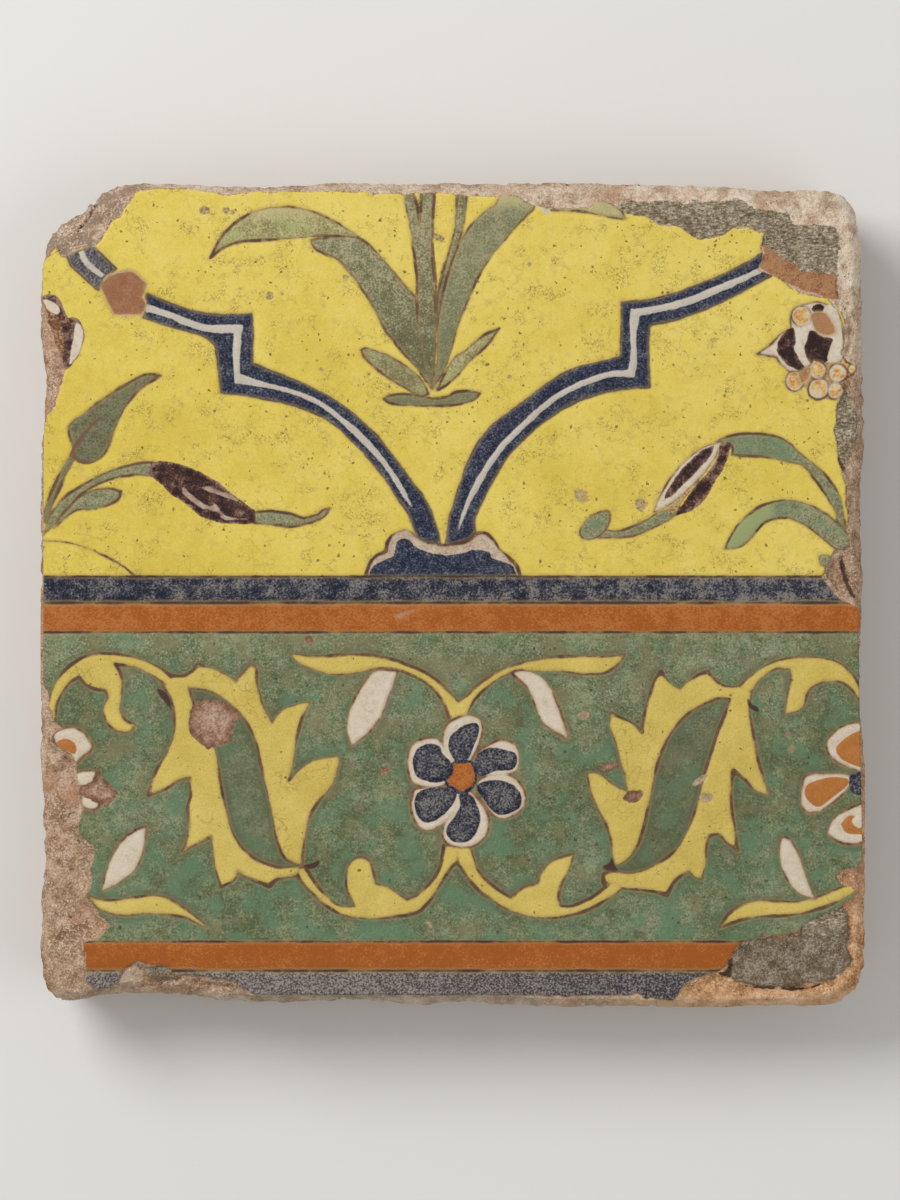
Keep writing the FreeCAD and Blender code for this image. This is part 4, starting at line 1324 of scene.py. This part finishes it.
def border_glaze_material(tone):
    """The scroll border: green ground between bands, yellow scrolls, white and cobalt petals."""
    def build(board):
        wide, middle, small, fine = board.group(surface_clouds())
        pits = board.group(glaze_pits(), Amount=0.35)["Pit"]
        crack = board.group(crazing(), Amount=0.5)["Crack"]
        scuff = board.group(scuffs(), Amount=0.7)
        across, up = board.put("ShaderNodeSeparateXYZ", {0: board.millimetres()}).outputs[:2]
        low = board.ramp(up, -60.0, -85.0)
        grainy = board.moved(0.5, (middle, 0.55), (small, 0.55), (fine, 1.1))
        paler = board.ramp(up, -35.0, -10.0, 0.0, 0.18)
        green = board.plus(paler, board.moved(0.45, (wide, 0.6), (middle, 0.5), (small, 0.5), (fine, 0.9)))
        green = board.graded(green, tone.green_dark, tone.green, tone.green_pale)
        patch = board.plus(board.noise(board.millimetres(), 7.0, 2.0, 0.5),
                           board.plus(board.ramp(up, -14.0, -30.0, 0.06, 0.0),
                                      board.ramp(up, -45.0, -70.0, 0.0, -0.05)))
        green = board.coats(green, (board.ramp(patch, 0.48, 0.72, 0.0, 0.75), tone.green_brown),
                            (board.ramp(patch, 0.54, 0.3, 0.0, 0.8), tone.green_fresh),
                            (board.times(scuff["Grains"], board.ramp(up, -42.0, -10.0, 0.25, 1.2)),
                             tone.green_worn), (pits, tone.green_pit))
        core = board.mix(board.ramp(board.value_of("core"), 2.4, 0.2, 0.4, 0.85), green, tone.green_deep)
        near = board.math("MAXIMUM", board.value_of("leafage"), board.value_of("white"))
        shade = board.times(board.ramp(near, -2.6, -0.1), board.ramp(middle, 0.2, 0.8, 0.1, 0.8))
        green = board.mix(shade, green, tone.green_deep)
        yellow = board.graded(board.moved(0.5, (wide, 0.5), (middle, 0.45), (fine, 0.7)),
                              tone.border_yellow_deep, tone.border_yellow, tone.border_yellow_pale)
        yellow = board.coats(yellow, (scuff["Marks"], tone.stain), (crack, tone.crack), (pits, tone.pit))
        dulled = board.moved(0.46, (wide, 0.5), (middle, 0.9), (small, 0.6), (fine, 1.5))
        dulled = board.scaled(low, -0.4, dulled)
        orange = board.graded(dulled, tone.orange_dark, tone.orange, tone.orange_pale)
        wear = board.between(low, board.ramp(across, -70.0, 70.0, -0.08, 0.24, "LINEAR"),
                             board.ramp(across, -40.0, 50.0, 0.12, -0.04, "LINEAR"))
        upper_wear = board.moved(0.4, (middle, 1.0), (small, 0.5), (fine, 1.2))
        lower_wear = board.moved(0.48, (middle, 0.3), (small, 0.5), (fine, 1.8))
        wear = board.plus(wear, board.between(low, upper_wear, lower_wear))
        ashen = board.times(low, board.ramp(across, -20.0, 50.0, 1.0, 0.45))
        cobalt = board.graded(wear, board.mix(ashen, tone.cobalt, tone.ash_dark),
                              board.mix(ashen, tone.cobalt_thin, tone.ash),
                              board.mix(ashen, tone.cobalt_worn, tone.ash_pale))
        petal = board.plus(board.ramp(board.value_of("cobalt"), 0.2, 1.8, -0.2, 0.12),
                           board.moved(0.44, (middle, 0.4), (small, 0.5), (fine, 1.3)))
        petal = board.graded(petal, tone.cobalt, tone.petal_cobalt, tone.cobalt_worn)
        white = board.graded(board.moved(0.55, (middle, 0.4), (small, 0.4), (fine, 0.4)), tone.white_dirty,
                             tone.white, tone.white_clean)
        healed = board.plus(board.ramp(board.value_of("scar"), 0.3, 2.2, -0.3, 0.15),
                            board.moved(0.5, (middle, 0.6), (small, 0.6), (fine, 0.6)))
        scar = board.graded(healed, tone.scar_dark, tone.scar, tone.scar_pale)
        line_colour = board.mix(middle, tone.line, tone.leaf_line)
        swollen = board.scaled(board.value_of("knot"), 0.5, 0.55)
        painting = Painting(board, green, 0.5, tone.line_stain)
        painting.lay("orange_band", orange, 0.5, 0.14)
        painting.lay("band", cobalt, 0.65, 0.16)
        painting.stroke(painting.edge("orange_band", 0.14), 0.4, tone.line)
        painting.stroke(painting.edge("band", 0.14), 0.4, tone.line)
        painting.lay("leafage", yellow, 0.45, 0.16, swollen, line_colour)
        painting.lay("core", core, 0.45, 0.16, 0.55, line_colour)
        painting.lay("white", white, 0.55, 0.16, 0.42, board.mix(small, tone.line, tone.petal_line))
        painting.lay("cobalt", petal, 0.6, 0.2)
        side_flower = board.ramp(board.math("ABSOLUTE", across), 40.0, 60.0, 0.0, 0.5)
        painting.lay("orange", board.mix(side_flower, orange, tone.ochre), 0.5, 0.2)
        painting.lay("ink", tone.line, 0.7, 0.2)
        painting.lay("scar", scar, 0.9, 0.5)
        dull = board.graded(grainy, tone.scar, tone.scar_dull, tone.scar_pale)
        dull = board.coats(dull, (board.ramp(up, -10.0, -7.0, 0.0, 0.5), tone.orange_pale),
                           (board.ramp(across, 60.0, 70.0, 0.0, 0.6), tone.green_brown))
        painting.lay("dull_scar", dull, 0.9, 0.6)
        pale = board.graded(grainy, tone.white_stained, tone.fleck, tone.white_dirty)
        painting.lay("pale_scar", pale, 0.9, 0.4)
        bare_edge(board, painting, small, fine, tone)
        return painting.colour, painting.roughness, glaze_relief(board, small, fine, pits)
    return finished("Border glaze", GLAZE_SHINE, build)


def clay_material(tone):
    """Weathered clay: paler along the upper end, rusty towards the lower right and grey along the lower
    edge, partly soot and partly painted shade, with a paler band at the broken lower edge that is partly
    painted light, with lime grains, a repair, a grey crust, mortar and a stone, and holes and crevices
    darkened with painted shade."""
    def build(board):
        place = board.millimetres()
        across, up, level = board.put("ShaderNodeSeparateXYZ", {0: place}).outputs
        wide, middle, small, fine = board.group(surface_clouds())
        holes = board.group(glaze_pits(), Amount=0.6)["Pit"]
        scuff = board.group(scuffs(), Amount=0.8)
        grainy = board.moved(0.5, (middle, 0.85), (small, 0.6), (fine, 0.75))
        clay = board.graded(grainy, tone.clay_dark, tone.clay, tone.clay_light)
        front = board.ramp(level, 14.0, 24.0)
        rust = board.times(board.ramp(across, 5.0, 70.0), board.ramp(up, -30.0, -80.0))
        rusty = board.graded(grainy, tone.rust_dark, tone.rust, tone.rust_light)
        limed = board.times(board.ramp(up, 40.0, 85.0), board.ramp(across, -92.0, -60.0, 0.2, 1.0))
        limed = board.times(limed, board.ramp(across, 30.0, 70.0, 0.5, 1.0))
        limed = board.times(limed, board.ramp(middle, 0.1, 0.5, 0.55, 1.0))
        lime = board.graded(grainy, tone.clay_light, tone.clay_pale, tone.lime)
        # Grey along the lower edge: partly soot, partly painted shade of the down-sloping lower edge
        soot_and_shade = board.times(board.ramp(across, 60.0, 20.0), board.ramp(across, -60.0, -25.0, 0.1, 1.0))
        soot_and_shade = board.times(board.ramp(up, -92.0, -97.5), soot_and_shade)
        # Paler band along the broken lower edge: partly the paler fresh break, partly painted light on the
        # down-sloping edge
        broken = board.times(board.ramp(up, -94.5, -98.5), board.ramp(middle, 0.1, 0.9, 0.3, 0.75))
        soot_and_shade_grey = board.graded(grainy, tone.soot_and_shade_dark, tone.soot_and_shade_grey, tone.clay)
        corner = board.times(board.ramp(across, -70.0, -84.0), board.ramp(up, 72.0, 84.0))
        dusty = board.graded(grainy, tone.soot_and_shade_grey, tone.clay_dusty, tone.clay_light)
        # Holes in the clay are darkened with painted shade
        clay = board.coats(clay, (board.times(rust, front), rusty), (board.times(limed, front), lime),
                           (board.times(soot_and_shade, front), soot_and_shade_grey),
                           (board.ramp(wide, 0.55, 0.9, 0.0, 0.55), tone.clay_red), (corner, dusty),
                           (board.times(broken, front), board.mix(rust, tone.clay_pale, tone.rust_light)),
                           (board.times(scuff["Grains"], 0.7), tone.lime), (holes, tone.hollow_shade))
        laid = board.put("ShaderNodeVectorMath", {0: place, 1: (0.45, 1.2, 1.0)},
                         operation="MULTIPLY").outputs[0]
        streaks = board.ramp(board.noise(laid, 0.6, 3.0, 0.7), 0.3, 0.7, kind="LINEAR")
        crusty = board.moved(0.42, (middle, 0.4), (small, 0.3), (streaks, 1.1), (fine, 0.6))
        crust = board.graded(crusty, tone.crust_dark, tone.crust, tone.crust_pale)
        mortar = board.graded(board.moved(0.45, (middle, 0.9), (small, 0.5), (fine, 1.1)), tone.mortar_dark,
                              tone.mortar, tone.mortar_pale)
        fill = board.graded(grainy, tone.fill_dark, tone.fill_sandy, tone.fill_light)
        stone = board.moved(0.5, (small, 0.5), (fine, 0.5))
        stone = board.graded(stone, tone.clay, tone.stone, tone.clay_pale)
        painting = Painting(board, clay, 0.9, tone.clay_dark)
        painting.lay("fill", fill, 0.85, 0.3)
        painting.lay("mortar", mortar, 0.95, 0.5, 0.25, tone.mortar_dark)
        painting.lay("crust", crust, 0.9, 0.6)
        painting.lay("stone", stone, 0.8, 0.3)
        # Crevices painted dark: painted shade in the cracks and a painted shadow under the mortar
        painting.lay("crevice", tone.hollow_shade, 0.95, 0.4)
        lumps = board.math("SUBTRACT", board.noise(place, 2.2, 4.0, 0.65), 0.5)
        height = board.scaled(lumps, 1.0, board.moved(0.0, (small, 0.16), (fine, 0.14)))
        height = board.scaled(holes, -0.3, height)
        return painting.colour, painting.roughness, height
    return finished("Weathered clay", CLAY_SHINE, build)


# The add-on

def length_property(name, description, millimetres):
    """A size that a user may change, given in millimetres and kept in metres."""
    return FloatProperty(name=name, description=description, default=millimetres * MM, min=0.0,
                         unit="LENGTH", precision=5)


def tint(name, description, red, green, blue):
    """A colour that a user may change, given as 0 to 255 screen values."""
    return FloatVectorProperty(name=name, description=description, subtype="COLOR", size=3, min=0.0,
                               max=1.0, default=linear(red, green, blue))


class TileSizes(bpy.types.PropertyGroup):
    """Sizes of the tile's finish."""

    glaze_skin: length_property("Glaze skin", "How far the glaze stands above the clay under it", 0.6)
    line_groove: length_property("Line groove", "Depth of the groove along a drawn line", 0.2)
    clay_relief: length_property("Clay relief", "Roughness of the bare clay on the face", 1.0)
    side_relief: length_property("Side relief", "Roughness of the sides and the broken corner", 1.0)


class TileColours(bpy.types.PropertyGroup):
    """Colours of the glazes and the clay."""

    yellow: tint("Yellow", "Panel's ground", 211, 188, 88)
    yellow_deep: tint("Deep yellow", "Panel's ground where the glaze is thick", 201, 177, 74)
    yellow_chalk: tint("Chalky yellow", "Panel's ground where the glaze is thin", 217, 196, 104)
    border_yellow: tint("Border yellow", "Scrolls and jagged leaves", 197, 174, 90)
    border_yellow_deep: tint("Deep border yellow", "Leaves where the glaze is thick", 184, 160, 78)
    border_yellow_pale: tint("Pale border yellow", "Leaves where the glaze is thin", 206, 184, 104)
    stain: tint("Stain", "Brown clouding of the yellow", 190, 166, 86)
    scuff: tint("Scuff", "Where the yellow is rubbed", 186, 164, 108)
    crack: tint("Crack", "Hair cracks in the yellow", 146, 124, 66)
    pit: tint("Pit", "Dirt in the pits of the yellow", 112, 92, 54)
    fleck: tint("Fleck", "Grey spots in the panel", 168, 150, 106)
    fleck_dark: tint("Dark fleck", "Dark part of the grey spots", 126, 110, 72)
    green: tint("Green", "Border's ground", 106, 114, 83)
    green_dark: tint("Dark green", "Green where the glaze is thick", 80, 86, 58)
    green_deep: tint("Deep green", "Green along the lines and in the leaves' middles", 86, 89, 65)
    green_brown: tint("Brown green", "Green where it has browned", 118, 113, 82)
    green_pale: tint("Pale green", "Green where the glaze is thin", 139, 143, 112)
    green_fresh: tint("Fresh green", "Green where it has kept its colour", 94, 121, 92)
    green_worn: tint("Worn green", "Grains worn through the green", 154, 152, 124)
    green_pit: tint("Green pit", "Dirt in the pits of the green", 74, 72, 52)
    orange: tint("Orange", "Bands and the rosette's middle", 163, 92, 40)
    orange_dark: tint("Dark orange", "Orange where it has dulled", 150, 82, 32)
    orange_pale: tint("Pale orange", "Orange where it is rubbed", 172, 106, 56)
    arch_cobalt: tint("Arch cobalt", "Arch and its foot", 27, 33, 51)
    arch_thin: tint("Thin arch cobalt", "Arch where its cobalt is thin", 62, 66, 81)
    arch_worn: tint("Worn arch cobalt", "Grains worn through the arch", 119, 117, 113)
    cobalt: tint("Cobalt", "Bands and petals", 31, 34, 47)
    cobalt_thin: tint("Thin cobalt", "Cobalt where it is thin", 65, 66, 75)
    cobalt_worn: tint("Worn cobalt", "Grains worn through the cobalt", 122, 116, 109)
    petal_cobalt: tint("Petal cobalt", "Cobalt of the rosette", 74, 72, 80)
    ash_dark: tint("Dark ash", "Dark part of the worn lower band", 72, 64, 62)
    ash: tint("Ash", "Cobalt of the worn lower band", 104, 96, 92)
    ash_pale: tint("Pale ash", "Pale grains of the worn lower band", 144, 134, 127)
    white: tint("White", "White lines, leaves and petals", 200, 186, 165)
    white_dirty: tint("Dirty white", "White where dirt clings", 180, 162, 140)
    white_grey: tint("Grey white", "White line along the arch", 184, 177, 166)
    white_clean: tint("Clean white", "White where it is thick", 210, 198, 180)
    foot_white: tint("Foot's white", "White line round the foot", 183, 163, 142)
    white_stained: tint("Stained white", "White line round the foot where it is stained", 152, 128, 105)
    foot_line: tint("Foot's outline", "Line round the foot", 84, 56, 46)
    lily: tint("Lily green", "Leaves in the middle", 119, 119, 88)
    lily_brown: tint("Lily brown", "Leaves in the middle where they have browned", 98, 92, 66)
    pale_leaf: tint("Pale leaf", "Folded ends of the middle leaves", 155, 148, 101)
    pale_leaf_dark: tint("Pale leaf's shade", "Shade of the folded ends", 128, 118, 80)
    pale_leaf_worn: tint("Worn pale leaf", "Folded ends where they are rubbed", 182, 174, 130)
    pale_leaf_green: tint("Green pale leaf", "Folded ends where they have kept their colour", 148, 158, 98)
    pale_leaf_faded: tint("Faded leaf", "Leaves' ends along the upper edge", 186, 174, 124)
    side_leaf: tint("Side leaf", "Leaves and stalks at the sides", 130, 131, 99)
    side_leaf_dark: tint("Side leaf's shade", "Shade of the leaves at the sides", 100, 104, 76)
    side_leaf_fresh: tint("Fresh side leaf", "Side leaves where they have kept their colour", 104, 126, 94)
    side_leaf_light: tint("Light side leaf", "Tip of the low leaf at the right", 150, 158, 106)
    heart_leaf: tint("Heart leaf", "The leaf with the bent tip", 108, 106, 79)
    heart_leaf_dark: tint("Heart leaf's shade", "Shade of the leaf with the bent tip", 88, 84, 60)
    leaf_worn: tint("Worn leaf", "Grains worn through the leaves", 162, 152, 118)
    leaf_line: tint("Leaf line", "Line drawn round leaves and petals", 112, 84, 64)
    petal_line: tint("Petal line", "Line drawn round the border's petals", 146, 108, 78)
    arch_line: tint("Arch line", "Line drawn along the arch", 88, 74, 64)
    line: tint("Drawn line", "Line drawn between glazes", 72, 54, 46)
    line_stain: tint("Line's stain", "Brown beside a drawn line", 160, 132, 86)
    plum: tint("Plum", "Dark petals", 47, 33, 32)
    plum_thin: tint("Thin plum", "Dark petals where they are thin", 86, 59, 52)
    plum_worn: tint("Worn plum", "Dark petals where they are rubbed", 142, 114, 98)
    ochre: tint("Ochre", "Middles of the beads", 178, 122, 64)
    bead: tint("Bead", "Beads within their white rings", 206, 170, 108)
    tan: tint("Tan", "Bare places among the petals", 168, 138, 96)
    tan_dark: tint("Dark tan", "Dark part of the bare places among the petals", 138, 106, 70)
    fill: tint("Repair", "Reddish repair on the panel", 143, 98, 71)
    fill_dark: tint("Dark repair", "Repair where it has dulled", 140, 93, 66)
    fill_light: tint("Light repair", "Repair where it is rubbed", 160, 120, 90)
    fill_sandy: tint("Sandy repair", "Repair at the right", 172, 127, 90)
    fill_edge: tint("Repair's edge", "Pale rim round the repair", 186, 158, 118)
    chip: tint("Chip", "Broken clay by the left flower", 126, 92, 64)
    chip_dark: tint("Dark chip", "Deep part of the broken clay", 96, 64, 40)
    scar: tint("Scar", "Flaked spots in the border", 147, 115, 95)
    scar_dark: tint("Dark scar", "Deep part of a flaked spot", 112, 80, 60)
    scar_pale: tint("Pale scar", "Limed part of a flaked spot", 180, 154, 134)
    scar_dull: tint("Dull scar", "Shallow flaked spots", 152, 134, 108)
    clay: tint("Clay", "Bare clay", 170, 140, 113)
    clay_dark: tint("Dark clay", "Bare clay with dirt on it", 136, 104, 79)
    clay_light: tint("Light clay", "Bare clay that is clean", 196, 170, 146)
    clay_pale: tint("Pale clay", "Limed clay along the upper end", 213, 194, 170)
    clay_red: tint("Red clay", "Freshly broken clay", 176, 131, 100)
    clay_dusty: tint("Dusty clay", "Clay of the broken corner", 150, 126, 106)
    # Painted shade in the holes and crevices of the clay
    hollow_shade: tint("Clay hole", "Holes in the clay", 92, 72, 56)
    lime: tint("Lime", "Lime on the clay", 224, 211, 194)
    stone: tint("Stone", "Stone in the mortar", 174, 150, 130)
    rust: tint("Rusty clay", "Clay at the lower right", 194, 146, 100)
    rust_dark: tint("Dark rusty clay", "Dark part of the clay at the lower right", 152, 108, 70)
    rust_light: tint("Light rusty clay", "Light part of the clay at the lower right", 216, 180, 144)
    # Grey of the lower edge: partly soot, partly painted shade
    soot_and_shade_grey: tint("Sooty clay", "Grey clay along the lower edge", 140, 123, 106)
    soot_and_shade_dark: tint("Dark sooty clay", "Dark part of the grey clay", 110, 94, 78)
    crust: tint("Crust", "Grey crust", 146, 133, 111)
    crust_dark: tint("Dark crust", "Dark part of the crust", 102, 90, 70)
    crust_pale: tint("Pale crust", "Pale grains of the crust", 198, 184, 160)
    mortar: tint("Mortar", "Mortar at the lower right", 127, 112, 93)
    mortar_dark: tint("Dark mortar", "Dark part of the mortar", 98, 84, 66)
    mortar_pale: tint("Pale mortar", "Sand in the mortar", 160, 147, 131)


def chosen_sizes(scene):
    """The sizes in millimetres, by name."""
    return {label: getattr(scene.tile_sizes, label) / MM for label in TileSizes.__annotations__}


def chosen_colours(scene):
    """The colours, by name."""
    colours = {label: tuple(getattr(scene.tile_colours, label)) for label in TileColours.__annotations__}
    return SimpleNamespace(**colours)


def dress(piece, material):
    """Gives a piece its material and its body."""
    piece.data.materials.append(material)
    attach(piece, "root")


class TILE_OT_make_clay_body(bpy.types.Operator):
    """Make the worn clay body, which stands for the tile of the frame"""

    bl_idname = "tile.make_clay_body"
    bl_label = "Clay Body"

    def execute(self, context):
        piece = clay_body(chosen_sizes(context.scene))
        dress(piece, clay_material(chosen_colours(context.scene)))
        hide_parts(CAD_NODE)
        return {"FINISHED"}


class TILE_OT_make_panel_glaze(bpy.types.Operator):
    """Make the glaze of the plant panel"""

    bl_idname = "tile.make_panel_glaze"
    bl_label = "Panel Glaze"

    def execute(self, context):
        drawn = ("arch", "arch_line", "foot", "foot_core", "lily_behind", "lily_before", "pale_leaf",
                 "side_leaf", "side_stalk", "heart_leaf", "petal", "bead", "band")
        sizes = chosen_sizes(context.scene)
        piece = glaze_sheet("panel_glaze", True, SHEET_COLUMNS, PANEL_ROWS, panel_fields, drawn, sizes)
        dress(piece, panel_glaze_material(chosen_colours(context.scene)))
        return {"FINISHED"}


class TILE_OT_make_border_glaze(bpy.types.Operator):
    """Make the glaze of the scroll border and its bands"""

    bl_idname = "tile.make_border_glaze"
    bl_label = "Border Glaze"

    def execute(self, context):
        drawn = ("band", "orange_band", "leafage", "core", "white", "cobalt", "orange")
        sizes = chosen_sizes(context.scene)
        piece = glaze_sheet("border_glaze", False, SHEET_COLUMNS, BORDER_ROWS, border_fields, drawn, sizes)
        dress(piece, border_glaze_material(chosen_colours(context.scene)))
        return {"FINISHED"}


class TILE_OT_set_stage(bpy.types.Operator):
    """Set the floor, the light and the camera above the tile"""

    bl_idname = "tile.set_stage"
    bl_label = "Stage"

    def execute(self, context):
        scene = context.scene
        scene.view_settings.view_transform = "Standard"
        set_floor()
        set_light(scene)
        set_camera(scene)
        return {"FINISHED"}


def set_floor():
    """A plain pale floor under the tile: a flat square grid."""
    half_width, count = 2000.0, 5
    reach = np.linspace(-half_width, half_width, count)
    x, y = np.meshgrid(reach, reach)
    quads = grid_faces(np.arange(count * count).reshape(count, count))
    points = np.stack([x, y, np.full_like(x, -0.1)], -1).reshape(-1, 3)
    floor = mesh_object("floor", points, quads, np.empty((0, 3), int), {})

    def build(board):
        shade = board.noise(board.millimetres(), 300.0)
        return board.mix(shade, linear(214, 212, 208), linear(220, 218, 214)), 0.8, 0.0
    floor.data.materials.append(finished("Pale floor", 0.3, build))


def set_light(scene):
    """Two wide soft lamps, the stronger at the upper left, and an even white surround."""
    world = bpy.data.worlds.new("Studio")
    scene.world = world
    world.use_nodes = True
    ground = world.node_tree.nodes["Background"]
    ground.inputs["Color"].default_value = (1.0, 1.0, 1.0, 1.0)
    ground.inputs["Strength"].default_value = 0.42
    lamps = {"key lamp": ((-0.75, 0.65, 1.0), 0.8, 15.0), "fill lamp": ((0.9, -0.35, 1.1), 1.2, 4.5)}
    for name, (place, width, power) in lamps.items():
        lamp = bpy.data.lights.new(name, "AREA")
        lamp.shape = "DISK"
        lamp.size = width
        lamp.energy = power
        holder = bpy.data.objects.new(name, lamp)
        holder.location = place
        holder.rotation_mode = "QUATERNION"
        holder.rotation_quaternion = (-Vector(place)).to_track_quat("-Z", "Y")
        scene.collection.objects.link(holder)


def set_camera(scene):
    """A camera straight above the tile, at the height from which the photograph's scale fills its frame."""
    lens, sensor = 240.0, 36.0
    camera = bpy.data.cameras.new("camera")
    camera.lens = lens
    camera.sensor_width = sensor
    holder = bpy.data.objects.new("camera", camera)
    middle = to_tile((PHOTO_SIZE[0] / 2, PHOTO_SIZE[1] / 2))
    height = FACE_LEVEL + PHOTO_SIZE[1] / PHOTO_SCALE * lens / sensor
    holder.location = (middle[0] * MM, middle[1] * MM, height * MM)
    scene.collection.objects.link(holder)
    scene.camera = holder


class TILE_PT_parts(bpy.types.Panel):
    """The tile's pieces, sizes and colours."""

    bl_label = "Glazed Border Tile"
    bl_idname = "TILE_PT_parts"
    bl_space_type = "VIEW_3D"
    bl_region_type = "UI"
    bl_category = "Tile"

    def draw(self, context):
        layout = self.layout
        for operator in OPERATORS:
            layout.operator(operator.bl_idname)
        for label in TileSizes.__annotations__:
            layout.prop(context.scene.tile_sizes, label)
        for label in TileColours.__annotations__:
            layout.prop(context.scene.tile_colours, label)


OPERATORS = (TILE_OT_make_clay_body, TILE_OT_make_panel_glaze, TILE_OT_make_border_glaze,
             TILE_OT_set_stage)
CLASSES = (TileSizes, TileColours, *OPERATORS, TILE_PT_parts)


def register():
    for made in CLASSES:
        bpy.utils.register_class(made)
    bpy.types.Scene.tile_sizes = PointerProperty(type=TileSizes)
    bpy.types.Scene.tile_colours = PointerProperty(type=TileColours)


def unregister():
    del bpy.types.Scene.tile_colours
    del bpy.types.Scene.tile_sizes
    for made in reversed(CLASSES):
        bpy.utils.unregister_class(made)


def main():
    register()
    bpy.ops.tile.make_clay_body()
    bpy.ops.tile.make_panel_glaze()
    bpy.ops.tile.make_border_glaze()
    bpy.ops.tile.set_stage()


if __name__ == "__main__":
    main()
